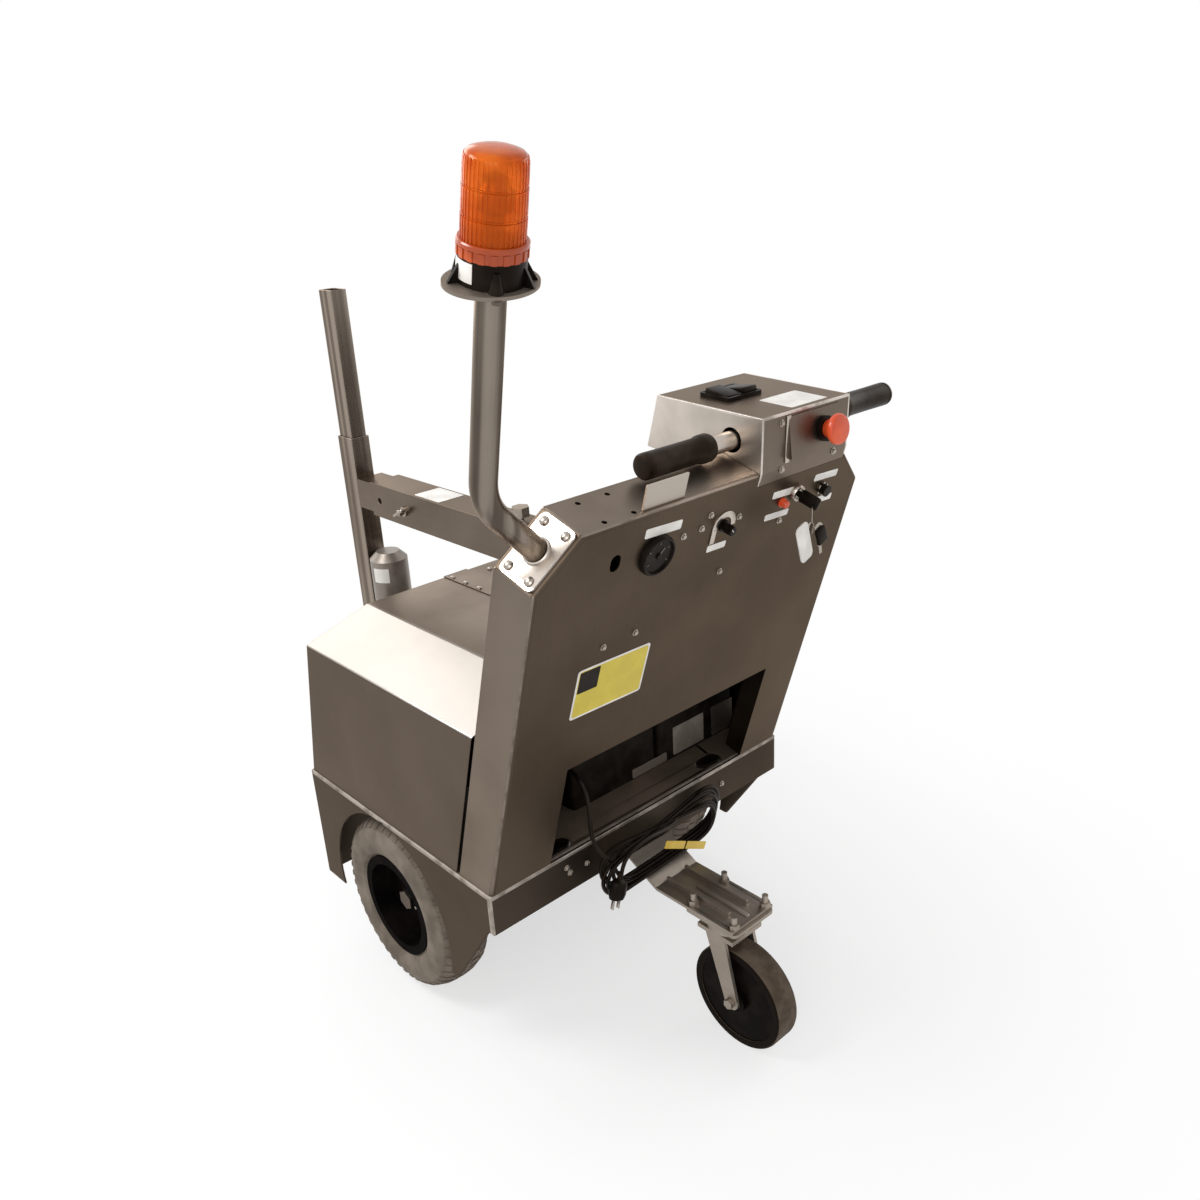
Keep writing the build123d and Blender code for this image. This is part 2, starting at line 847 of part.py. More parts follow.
# Hangers that carry the axle tubes below the base pan
with BuildPart() as axle_hangers:
    for side in (-1, 1):
        with BuildSketch(Plane.YZ.offset(side * hanger_x - hanger_sheet / 2)):
            with BuildLine():
                Polyline(
                    (-hanger_foot, axle_z - hanger_foot),
                    (hanger_foot, axle_z - hanger_foot),
                    (hanger_foot, axle_z + hanger_foot),
                    (hanger_top_width / 2, base_top - base_sheet),
                    (-hanger_top_width / 2, base_top - base_sheet),
                    (-hanger_foot, axle_z + hanger_foot),
                    close=True,
                )
            make_face()
            with Locations((0, axle_z)):
                Circle(axle_tube_radius + seat_gap, mode=Mode.SUBTRACT)
        extrude(amount=hanger_sheet)


# Batteries side by side on the base, with the charger to their left
inside_half = panel_half - hood_sheet
charger_left = charger_side_gap - inside_half
battery_left = charger_left + charger_width + charger_gap
battery_right = inside_half - battery_side_gap
battery_width = (battery_right - battery_left - battery_gap) / 2
with BuildPart() as batteries:
    for place in (0, 1):
        with Locations((battery_left + place * (battery_width + battery_gap), battery_rear, base_top)):
            Box(battery_width, battery_depth, battery_height, align=(Align.MIN, Align.MIN, Align.MIN))
    fillet(edges().filter_by(Axis.Z), battery_round)

with BuildPart() as charger:
    with Locations((charger_left, charger_rear, base_top)):
        Box(charger_width, charger_depth, charger_height, align=(Align.MIN, Align.MIN, Align.MIN))

# Gland where the mains lead leaves the charger
gland_x = charger_left + charger_width - gland_inset
with BuildPart() as cord_gland:
    with BuildSketch(Plane.XZ.offset(-charger_rear)):
        with Locations((gland_x, gland_z)):
            Circle(cord_gland_radius)
    extrude(amount=cord_gland_length, taper=gland_taper)


# Caster bracket: strap cranked down from the base to the caster's plate
slope_rise = base_top - rear_skirt - bracket_top
with BuildPart() as caster_bracket:
    with BuildSketch(Plane.YZ.offset(-bracket_width / 2)):
        with BuildLine():
            Polyline(
                (bracket_rear, bracket_top),
                (bracket_bend, bracket_top),
                (bracket_rise_end, bracket_top + slope_rise),
                (bracket_front - bracket_sheet, bracket_top + slope_rise),
                (bracket_front - bracket_sheet, base_top - base_sheet),
                (bracket_front, base_top - base_sheet),
                (bracket_front, bracket_top + slope_rise - bracket_sheet),
                (bracket_rise_end, bracket_top + slope_rise - bracket_sheet),
                (bracket_bend, bracket_top - bracket_sheet),
                (bracket_rear, bracket_top - bracket_sheet),
                close=True,
            )
        make_face()
    extrude(amount=bracket_width)
    with BuildSketch(Plane.XY.offset(bracket_top)):
        for side in (-1, 1):
            with Locations((side * rib_x, bracket_bend)):
                Rectangle(rib_width, rib_length, align=(Align.CENTER, Align.MAX))
    extrude(amount=rib_height)
    with BuildSketch(Plane.XY.offset(bracket_top)):
        with Locations((0, swivel_y)):
            with GridLocations(stud_pitch_x, stud_pitch_y, 2, 2):
                Circle(stud_radius + seat_gap)
    extrude(amount=-bracket_sheet, mode=Mode.SUBTRACT)

# Caster top plate with its studs, nuts and king pin
plate_top = bracket_top - bracket_sheet
plate_bottom = plate_top - caster_plate_sheet
fork_top = plate_bottom - seat_gap
with BuildPart() as caster_plate:
    with BuildSketch(Plane.XY.offset(plate_bottom)):
        with Locations((0, swivel_y)):
            RectangleRounded(caster_plate_x, caster_plate_y, stud_nut_radius)
    extrude(amount=caster_plate_sheet)
    with BuildSketch(Plane.XY.offset(plate_top)):
        with Locations((0, swivel_y)):
            with GridLocations(stud_pitch_x, stud_pitch_y, 2, 2):
                Circle(stud_radius)
    extrude(amount=bracket_sheet + stud_height)
    with BuildSketch(Plane.XY.offset(bracket_top)):
        with Locations((0, swivel_y)):
            with GridLocations(stud_pitch_x, stud_pitch_y, 2, 2):
                RegularPolygon(stud_nut_radius, 6)
    extrude(amount=stud_nut_height)
    with BuildSketch(Plane.XY.offset(plate_bottom)):
        with Locations((0, swivel_y)):
            Circle(king_pin_radius)
    extrude(amount=-race_height)

# Fork: swivel race, crown and two raked legs
caster_y = swivel_y - caster_trail
leg_inner = caster_width / 2 + fork_gap
crown_z = fork_top - race_height
with BuildPart() as caster_fork:
    with BuildSketch(Plane.XY.offset(fork_top)):
        with Locations((0, swivel_y)):
            Circle(race_radius)
    extrude(amount=-race_height)
    with BuildSketch(Plane.XY.offset(crown_z)):
        with Locations((0, swivel_y)):
            Rectangle(2 * (leg_inner + fork_sheet), 2 * race_radius)
    extrude(amount=-crown_sheet)
    with BuildSketch(Plane.XY.offset(fork_top)):
        with Locations((0, swivel_y)):
            Circle(king_pin_radius + running_fit)
    extrude(amount=-(race_height + crown_sheet), mode=Mode.SUBTRACT)
    for side in (-1, 1):
        leg_start = leg_inner if side > 0 else -leg_inner - fork_sheet
        with BuildSketch(Plane.YZ.offset(leg_start)):
            with BuildLine():
                Polyline(
                    (swivel_y - fork_leg_top / 2, crown_z),
                    (swivel_y + fork_leg_top / 2, crown_z),
                    (swivel_y + fork_leg_top / 2, crown_z - crown_sheet),
                    (caster_y + fork_leg_width / 2, caster_radius),
                    (caster_y - fork_leg_width / 2, caster_radius),
                    (swivel_y - fork_leg_top / 2, crown_z - crown_sheet),
                    close=True,
                )
            make_face()
            with Locations((caster_y, caster_radius)):
                Circle(fork_leg_width / 2)
                Circle(caster_axle_radius + running_fit, mode=Mode.SUBTRACT)
        extrude(amount=fork_sheet)

axle_half = leg_inner + fork_sheet
with BuildPart() as caster_axle:
    with Locations((0, caster_y, caster_radius)):
        Cylinder(caster_axle_radius, 2 * axle_half, rotation=(0, 90, 0))
    for side in (-1, 1):
        with BuildSketch(Plane(origin=(side * axle_half, caster_y, caster_radius), z_dir=(side, 0, 0))):
            RegularPolygon(stud_nut_radius, 6)
        extrude(amount=stud_nut_height)

caster_spin = Axis((0, caster_y, caster_radius), (1, 0, 0))
# Caster wheel rings, web and then hub: half width, inner radius, outer radius
core_rings = (
    (caster_width / 2 - caster_face, caster_hub_radius, caster_radius - caster_tread),
    (caster_width / 2 + fork_gap - seat_gap, caster_axle_radius + running_fit, caster_hub_radius),
)
caster_plane = Plane(origin=(0, caster_y, caster_radius), x_dir=(1, 0, 0), z_dir=(0, 0, 1))
with BuildPart() as caster_core:
    with BuildSketch(caster_plane):
        for half_width, inner_radius, outer_radius in core_rings:
            with Locations((0, inner_radius)):
                Rectangle(2 * half_width, outer_radius - inner_radius, align=(Align.CENTER, Align.MIN))
    revolve(axis=caster_spin)

with BuildPart() as caster_tread_ring:
    with BuildSketch(caster_plane) as tread_section:
        with Locations((0, caster_radius - caster_tread + seat_gap)):
            Rectangle(caster_width, caster_tread - seat_gap, align=(Align.CENTER, Align.MIN))
        fillet(tread_section.vertices().group_by(Axis.Y)[-1], caster_round)
    revolve(axis=caster_spin)


# Lifting mast: outer tube, sliding inner tube and the arm that braces it to the console
mast_x = mast_left + mast_width / 2
mast_y = mast_rear + mast_depth / 2
with BuildPart() as mast_outer:
    with BuildSketch(Plane.XY.offset(mast_bottom)):
        with Locations((mast_x, mast_y)):
            Rectangle(mast_width, mast_depth)
            Rectangle(mast_width - 2 * mast_wall, mast_depth - 2 * mast_wall, mode=Mode.SUBTRACT)
    extrude(amount=mast_top - mast_bottom)

inner_width = mast_width - 2 * mast_wall - 2 * mast_fit
inner_depth = mast_depth - 2 * mast_wall - 2 * mast_fit
with BuildPart() as mast_inner:
    with BuildSketch(Plane.XY.offset(inner_bottom)):
        with Locations((mast_x, mast_y)):
            Rectangle(inner_width, inner_depth)
            Rectangle(inner_width - 2 * inner_wall, inner_depth - 2 * inner_wall, mode=Mode.SUBTRACT)
    extrude(amount=inner_top - inner_bottom)

arm_x = arm_left + arm_size / 2
arm_z = arm_top - arm_size / 2
with BuildPart() as arm_outer:
    with BuildSketch(Plane.XZ.offset(-arm_front)):
        with Locations((arm_x, arm_z)):
            Rectangle(arm_size, arm_size)
            Rectangle(arm_size - 2 * arm_wall, arm_size - 2 * arm_wall, mode=Mode.SUBTRACT)
    extrude(amount=arm_front - base_rear * 2)
    split(bisect_by=hood_rear, keep=Keep.BOTTOM)
    with BuildSketch(Plane.YZ.offset(arm_left)):
        with Locations((arm_pin_y, arm_z)):
            Circle(arm_pin_radius)
    extrude(amount=arm_wall, mode=Mode.SUBTRACT)

with BuildPart() as arm_inner:
    with BuildSketch(Plane.XZ.offset(-mast_rear)):
        with Locations((arm_x, arm_z)):
            Rectangle(arm_inner_size, arm_inner_size)
            Rectangle(arm_inner_size - 2 * arm_wall, arm_inner_size - 2 * arm_wall, mode=Mode.SUBTRACT)
    extrude(amount=mast_rear - arm_front + arm_inner_overlap)

with BuildPart() as arm_clamp:
    with BuildSketch(Plane.XY.offset(arm_top)):
        with Locations((arm_x, clamp_y)):
            Circle(clamp_stem_radius)
    extrude(amount=clamp_stem_height)
    with BuildSketch(Plane.XY.offset(arm_top + clamp_stem_height)):
        with Locations((arm_x, clamp_y)):
            RegularPolygon(clamp_radius, 6)
    extrude(amount=clamp_height)

# Bracket between the base's front and the mast, with cheeks for the actuator's trunnions
cheek_inner = actuator_radius + bracket_cheek_gap
cheek_outer = cheek_inner + bracket_cheek_sheet
actuator_y = (base_front + mast_rear - bracket_cheek_sheet) / 2
with BuildPart() as mast_bracket:
    with BuildSketch(Plane.XY.offset(bracket_low)):
        with Locations((mast_x, base_front)):
            Rectangle(2 * cheek_outer, mast_rear - base_front, align=(Align.CENTER, Align.MIN))
            Rectangle(
                2 * cheek_inner,
                mast_rear - base_front - bracket_cheek_sheet,
                align=(Align.CENTER, Align.MIN),
                mode=Mode.SUBTRACT,
            )
    extrude(amount=bracket_high - bracket_low)
    with Locations((mast_x, actuator_y, trunnion_z)):
        Cylinder(trunnion_radius + seat_gap, 2 * cheek_outer, rotation=(0, 90, 0), mode=Mode.SUBTRACT)

with BuildPart() as lift_actuator:
    with BuildSketch(Plane.XY.offset(actuator_bottom)):
        with Locations((mast_x, actuator_y)):
            Circle(actuator_radius)
    extrude(amount=actuator_top - actuator_bottom)
    chamfer(edges().group_by(Axis.Z)[-1], actuator_cap)
    with Locations((mast_x, actuator_y, trunnion_z)):
        Cylinder(trunnion_radius, 2 * cheek_outer, rotation=(0, 90, 0))
    with BuildSketch(Plane.XY.offset(actuator_bottom)):
        with Locations((mast_x, actuator_y)):
            Circle(rod_radius + running_fit)
    extrude(amount=rod_bore_depth, mode=Mode.SUBTRACT)

jaw_height = 2 * jaw_sheet + jaw_gap
carriage_top = inner_bottom + jaw_height
with BuildPart() as actuator_rod:
    with BuildSketch(Plane.XY.offset(carriage_top)):
        with Locations((mast_x, actuator_y)):
            Circle(rod_radius)
    extrude(amount=actuator_bottom + rod_bore_depth - lift_travel - rod_end_gap - carriage_top)

# Carriage at the foot of the inner mast, with the tow jaw on the vehicle's centre line
carriage_front = mast_rear + mast_depth + carriage_sheet
with BuildPart() as tow_carriage:
    with BuildSketch(Plane.XY.offset(inner_bottom)):
        with Locations((mast_x - jaw_width / 2, actuator_y - rod_radius)):
            Rectangle(
                jaw_width - mast_x,
                carriage_front - actuator_y + rod_radius,
                align=(Align.MIN, Align.MIN),
            )
        with Locations((mast_x, mast_y)):
            Rectangle(inner_width + 2 * seat_gap, inner_depth + 2 * seat_gap, mode=Mode.SUBTRACT)
    extrude(amount=jaw_height)
    with BuildSketch(Plane.XY.offset(inner_bottom)):
        with Locations((0, carriage_front)):
            Rectangle(jaw_width, jaw_reach - jaw_width / 2, align=(Align.CENTER, Align.MIN))
        with Locations((0, carriage_front + jaw_reach - jaw_width / 2)):
            Circle(jaw_width / 2)
    extrude(amount=jaw_height)
    with BuildSketch(Plane.XY.offset(inner_bottom + jaw_sheet)):
        with Locations((0, carriage_front)):
            Rectangle(jaw_width, jaw_reach, align=(Align.CENTER, Align.MIN))
    extrude(amount=jaw_gap, mode=Mode.SUBTRACT)
    with BuildSketch(Plane.XY.offset(inner_bottom)):
        with Locations((0, carriage_front + jaw_reach - tow_pin_inset)):
            Circle(tow_pin_radius)
    extrude(amount=jaw_height, mode=Mode.SUBTRACT)


# Mains lead: free run over the ledge, then a hank of loops across the caster bracket
gland_end = charger_rear - cord_gland_length
cord_route = (
    (gland_x, gland_end, gland_z),
    (gland_x, gland_end - 50, gland_z),
    (gland_x, gland_end - 82, gland_z - 24),
    (gland_x, gland_end - 90, gland_z - 60),
    (gland_x, gland_end - 90, gland_z - 112),
    (gland_x + 5, gland_end - 98, gland_z - 139),
    (gland_x + 15, gland_end - 118, gland_z - 156),
)
cord_points = [Vector(*point) for point in cord_route]
cord_radii = []
for before, corner, after in zip(cord_points, cord_points[1:], cord_points[2:]):
    turn = (corner - before).get_angle(after - corner)
    shorter = min((corner - before).length, (after - corner).length)
    cord_radii.append(cord_bend_share * shorter / tan(radians(turn / 2)))
print("cord radii", [round(radius) for radius in cord_radii])
with BuildPart() as cord_lead:
    with BuildLine():
        FilletPolyline(*cord_points, radius=cord_radii)
    with BuildSketch(Plane(origin=cord_points[0], z_dir=cord_points[1] - cord_points[0])):
        Circle(cord_radius)
    sweep()

bracket_slope = slope_rise / (bracket_rise_end - bracket_bend)
hank_front = hank_rear + hank_thickness
hank_low = bracket_top + (hank_front - bracket_bend) * bracket_slope + seat_gap
with BuildPart() as cord_hank:
    with BuildSketch(Plane.XZ.offset(-hank_front)):
        with Locations(((hank_left + hank_right) / 2, hank_low + hank_height / 2)):
            SlotOverall(hank_right - hank_left, hank_height)
    extrude(amount=hank_thickness)

plug_y = hank_rear - plug_depth / 2
plug_top = hank_low + plug_top_up
with BuildPart() as mains_plug:
    with BuildSketch(Plane.XY.offset(plug_top)):
        with Locations((plug_x, plug_y)):
            RectangleRounded(plug_width, plug_depth, plug_round)
    extrude(amount=-plug_height)
    with BuildSketch(Plane.XY.offset(plug_top - plug_height)):
        with Locations((plug_x, plug_y)):
            with GridLocations(plug_blade_pitch, 0, 2, 1):
                Rectangle(plug_blade_sheet, plug_blade_width)
    extrude(amount=-plug_blade_length)


# Every piece under its own name
pieces = {
    "chassis_base": chassis_base,
    "console_shell": console_shell,
    "console_front_panel": console_front_panel,
    "hood_left": hood_left,
    "hood_right": hood_right,
    "head_box": head_box,
    "handlebar": handlebar,
    "grips": grips,
    "handle_bearing": handle_bearing,
    "voltmeter": voltmeter,
    "speed_dial": speed_dial,
    "key_switch": key_switch,
    "breaker_button": breaker_button,
    "reset_knob": reset_knob,
    "estop_bracket": estop_bracket,
    "estop_collar": estop_collar,
    "estop_button": estop_button,
    "rocker_switch": rocker_switch,
    "pole_flange": pole_flange,
    "beacon_pole": beacon_pole,
    "beacon_plate": beacon_plate,
    "beacon_base": beacon_base,
    "beacon_lens": beacon_lens,
    **wheels,
    "transaxle": transaxle,
    "drive_motor": drive_motor,
    "axle_hangers": axle_hangers,
    "batteries": batteries,
    "charger": charger,
    "cord_gland": cord_gland,
    "caster_bracket": caster_bracket,
    "caster_plate": caster_plate,
    "caster_fork": caster_fork,
    "caster_axle": caster_axle,
    "caster_core": caster_core,
    "caster_tread": caster_tread_ring,
    "mast_outer": mast_outer,
    "mast_inner": mast_inner,
    "arm_outer": arm_outer,
    "arm_inner": arm_inner,
    "arm_clamp": arm_clamp,
    "mast_bracket": mast_bracket,
    "lift_actuator": lift_actuator,
    "actuator_rod": actuator_rod,
    "tow_carriage": tow_carriage,
    "cord_lead": cord_lead,
    "cord_hank": cord_hank,
    "mains_plug": mains_plug,
}
for piece_name, piece in pieces.items():
    piece.part.label = piece_name
    export_step(piece.part, f"parts/{piece_name}.step")
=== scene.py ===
import bpy
from math import atan2, cos, floor, pi, radians, sin
from mathutils import Matrix, Vector


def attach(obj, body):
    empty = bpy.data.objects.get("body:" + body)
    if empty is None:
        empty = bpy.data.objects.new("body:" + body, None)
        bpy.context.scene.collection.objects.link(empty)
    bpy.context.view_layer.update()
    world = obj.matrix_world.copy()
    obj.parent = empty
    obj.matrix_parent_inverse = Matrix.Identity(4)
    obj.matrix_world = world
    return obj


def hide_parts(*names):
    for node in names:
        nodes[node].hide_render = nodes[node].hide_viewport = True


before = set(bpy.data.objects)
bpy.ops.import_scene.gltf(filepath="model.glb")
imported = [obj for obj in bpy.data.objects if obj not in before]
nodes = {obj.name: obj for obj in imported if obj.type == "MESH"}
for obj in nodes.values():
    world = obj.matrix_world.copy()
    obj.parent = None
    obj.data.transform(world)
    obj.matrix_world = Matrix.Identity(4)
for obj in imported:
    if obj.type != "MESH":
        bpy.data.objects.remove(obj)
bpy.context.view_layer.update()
mm = 0.001
print("frame loaded,", len(nodes), "nodes")

# Planes of the sheet metal that pieces and finishes refer to, in millimetres
toLeft, toRight, toRear, toSky = (-1, 0, 0), (1, 0, 0), (0, -1, 0), (0, 0, 1)
rearY = -320  # rear skirt and foot of the leaning face
ledgeZ = 356  # top of the rear ledge
baseHalf = 340
consoleHalf = 337
faceLength = 634
headLeft = 72
headRight = 275
headTall = 81
hoodTop = 674
hoodFlat = 214  # half width of the hood's flat top
wheelX = 287
axleZ = 168

lean = radians(17.4)
faceUp = Vector((0, -sin(lean), cos(lean)))
faceOut = Vector((0, -cos(lean), -sin(lean)))
faceFoot = Vector((0, rearY, ledgeZ))
headLean = radians(2.8)
headUp = Vector((0, -sin(headLean), cos(headLean)))
headOut = Vector((0, -cos(headLean), -sin(headLean)))
headFoot = faceFoot + faceUp * faceLength
headTop = headFoot + headUp * headTall
roofSlope = radians(3)
roofAhead = Vector((0, cos(roofSlope), sin(roofSlope)))
roofUp = Vector((0, -sin(roofSlope), cos(roofSlope)))

warm = (1, 0.74, 0.54, 1)  # tint of the gloss on black pieces
glancing = (0.82, 0.74, 0.67, 1)  # steel seen edge-on


class Signal:
    def __init__(self, finish, socket):
        self.finish = finish
        self.socket = socket

    def math(self, operation, first, second):
        return self.finish.node("Math", {"operation": operation}, {0: first, 1: second})

    def __add__(self, other):
        return self.math("ADD", self, other)

    def __radd__(self, other):
        return self.math("ADD", other, self)

    def __rsub__(self, other):
        return self.math("SUBTRACT", other, self)

    def __mul__(self, other):
        return self.math("MULTIPLY", self, other)

    def above(self, level, softness):  # 0 below the level, 1 above it
        return self.finish.node(
            "MapRange", {"interpolation_type": "SMOOTHSTEP"},
            {0: self, 1: level - softness, 2: level + softness, 3: 0.0, 4: 1.0},
        )


class Finish:
    def __init__(self, name):
        self.material = bpy.data.materials.new(name)
        self.material.use_nodes = True
        self.tree = self.material.node_tree
        self.shader = self.tree.nodes["Principled BSDF"]

    def plug(self, socket, value):
        if isinstance(value, Signal):
            self.tree.links.new(value.socket, socket)
        else:
            socket.default_value = value

    def node(self, kind, settings=None, inputs=None, output=0):
        made = self.tree.nodes.new("ShaderNode" + kind)
        for key, value in (settings or {}).items():
            setattr(made, key, value)
        for key, value in (inputs or {}).items():
            self.plug(made.inputs[key], value)
        return Signal(self, made.outputs[output])

    def coords(self, scale=(1, 1, 1)):
        place = self.node("TexCoord", output="Object")
        return self.node("Mapping", None, {"Vector": place, "Scale": scale})

    def reach(self, direction):  # how far each spot lies along a direction
        place = self.node("TexCoord", output="Object")
        return self.node("VectorMath", {"operation": "DOT_PRODUCT"}, {0: place, 1: tuple(direction)}, "Value")

    def distance(self, where):
        return self.node("VectorMath", {"operation": "LENGTH"}, {0: where}, "Value")

    def lengthwise(self, run, across, lengthways):  # coordinates stretched along a tube
        run = Vector(run).normalized()
        side = run.orthogonal().normalized()
        stretched = (side * across, run.cross(side) * across, run * lengthways)
        return self.node("CombineXYZ", None, {row: self.reach(axis) for row, axis in enumerate(stretched)})

    def noise(self, where, scale, detail):
        return self.node("TexNoise", None, {"Vector": where, "Scale": scale, "Detail": detail})

    def mix(self, amount, first, second):  # each tone is a signal or three numbers
        tones = [tone if isinstance(tone, Signal) else (*tone, 1) for tone in (first, second)]
        return self.node("Mix", {"data_type": "RGBA"}, {0: amount, 6: tones[0], 7: tones[1]}, 2)

    def under(self, outward, spot, depth, soft=0.5):  # 1 within a depth of a piece's outer plane
        surface = Vector(outward).dot(Vector(spot))
        return self.reach(outward).above((surface - depth) * mm, soft * mm)

    def bump(self, height, strength, distance):
        return self.node("Bump", None, {"Height": height, "Strength": strength, "Distance": distance})

    def set(self, **sockets):
        for key, value in sockets.items():
            self.plug(self.shader.inputs[key.replace("_", " ")], value)
        return self.material


def brushedSteel(
    name, dark, light, grain, rough, folds=(), foldHighlightTone=(0.62, 0.57, 0.52), paintedLight=(), drawn=None, dull=None
):
    finish = Finish(name)
    plain = finish.coords()
    brushed = finish.lengthwise(drawn, across=600, lengthways=9) if drawn else finish.coords(grain)
    hair = finish.noise(brushed, scale=1.0, detail=4.0)
    cloud = finish.noise(plain, scale=4.5, detail=4.0)
    spots = finish.noise(plain, scale=38.0, detail=2.0)
    blend = cloud.above(0.5, 0.2) * 0.5 + hair * 0.5
    if drawn:  # a tube, streaky along its length
        streaks = finish.noise(finish.lengthwise(drawn, across=62, lengthways=0.9), scale=1.0, detail=1.5)
        blend = blend * 0.35 + streaks.above(0.5, 0.15) * 0.65
    tone = finish.mix(blend, dark, light)
    patch = cloud.above(0.5, 0.17)
    for plane, litTone, even in paintedLight:  # painted highlight: a sheet painted brighter, as light and reflection fall on it, evenly or in patches
        tone = finish.mix(finish.under(*plane) * (even + patch * (1 - even)), tone, litTone)
    if folds:  # painted highlight along the folds where two planes meet, in mottled patches
        first, *others = [finish.under(*plane) for plane in folds]
        foldHighlightMask = sum(others, first).above(1.5, 0.3)
        tone = finish.mix(foldHighlightMask * (0.4 + spots.above(0.46, 0.16) * 0.6), tone, foldHighlightTone)
    matt = finish.under(*dull) if dull else 0.0  # a sheet with a film of dust
    return finish.set(
        Base_Color=tone,
        Metallic=1.0 - matt * 0.5,
        Specular_Tint=glancing,
        Roughness=rough - 0.09 + cloud * 0.1 + hair * 0.1 + spots * 0.05 + matt * 0.25,
        Normal=finish.bump(hair + cloud * 0.4, strength=0.06, distance=0.6 * mm),
    )


def paintedMetal(name, dark, light, rough, metallic=0.0, **fixed):
    finish = Finish(name)
    plain = finish.coords()
    dust = finish.noise(plain, scale=22.0, detail=5.0)
    peel = finish.noise(plain, scale=420.0, detail=2.0)
    return finish.set(
        Base_Color=finish.mix(dust.above(0.52, 0.2), dark, light),
        Metallic=metallic,
        Roughness=rough - 0.06 + dust * 0.16,
        Normal=finish.bump(peel, strength=0.05, distance=0.4 * mm),
        **fixed,
    )


def mouldedPlastic(name, dark, light, rough, grainSize=900.0, depth=0.18, **fixed):
    finish = Finish(name)
    plain = finish.coords()
    pebble = finish.noise(plain, scale=grainSize, detail=2.0)
    wear = finish.noise(plain, scale=30.0, detail=4.0)
    return finish.set(
        Base_Color=finish.mix(wear.above(0.55, 0.16), dark, light),
        Roughness=rough - 0.08 + wear * 0.16,
        Normal=finish.bump(pebble, strength=depth, distance=0.5 * mm),
        **fixed,
    )


def warmGloss(level):  # weak gloss of a black piece
    return {"Specular_IOR_Level": level, "Specular_Tint": warm}


casterTread = {"half": 24, "skin": 1.6}


def casterRubber(name, dark, light, sides):  # brown running face, black sides
    finish = Finish(name)
    plain = finish.coords()
    dirt = finish.noise(plain, scale=40.0, detail=6.0)
    grit = finish.noise(plain, scale=700.0, detail=3.0)
    half, skin = casterTread["half"], casterTread["skin"]
    flank = finish.under(toLeft, (-half, 0, 0), skin) + finish.under(toRight, (half, 0, 0), skin)
    return finish.set(
        Base_Color=finish.mix(flank, finish.mix(dirt.above(0.5, 0.17), dark, light), sides),
        Roughness=0.6 + dirt * 0.12,
        Normal=finish.bump(grit + dirt * 0.6, strength=0.25, distance=0.8 * mm),
        **warmGloss(0.06),
    )


tyreShoulder = {"radius": 148.5, "soft": 3}


def treadRubber(name, wall, wallDust, tread, treadDust):  # pale side walls, darker running face
    finish = Finish(name)
    plain = finish.coords()
    dirt = finish.noise(plain, scale=18.0, detail=6.0)
    grit = finish.noise(plain, scale=700.0, detail=3.0)
    toAxle = {0: plain, 1: (0, 1, 1), 2: (0, 0, -axleZ * mm)}
    fromAxle = finish.distance(finish.node("VectorMath", {"operation": "MULTIPLY_ADD"}, toAxle))
    outer = fromAxle.above(tyreShoulder["radius"] * mm, tyreShoulder["soft"] * mm)
    dusty = dirt.above(0.5, 0.17)
    return finish.set(
        Base_Color=finish.mix(outer, finish.mix(dusty, wall, wallDust), finish.mix(dusty, tread, treadDust)),
        Roughness=0.8 + dirt * 0.1,
        Specular_IOR_Level=0.2,
        Normal=finish.bump(grit + dirt * 0.6, strength=0.3, distance=0.8 * mm),
    )


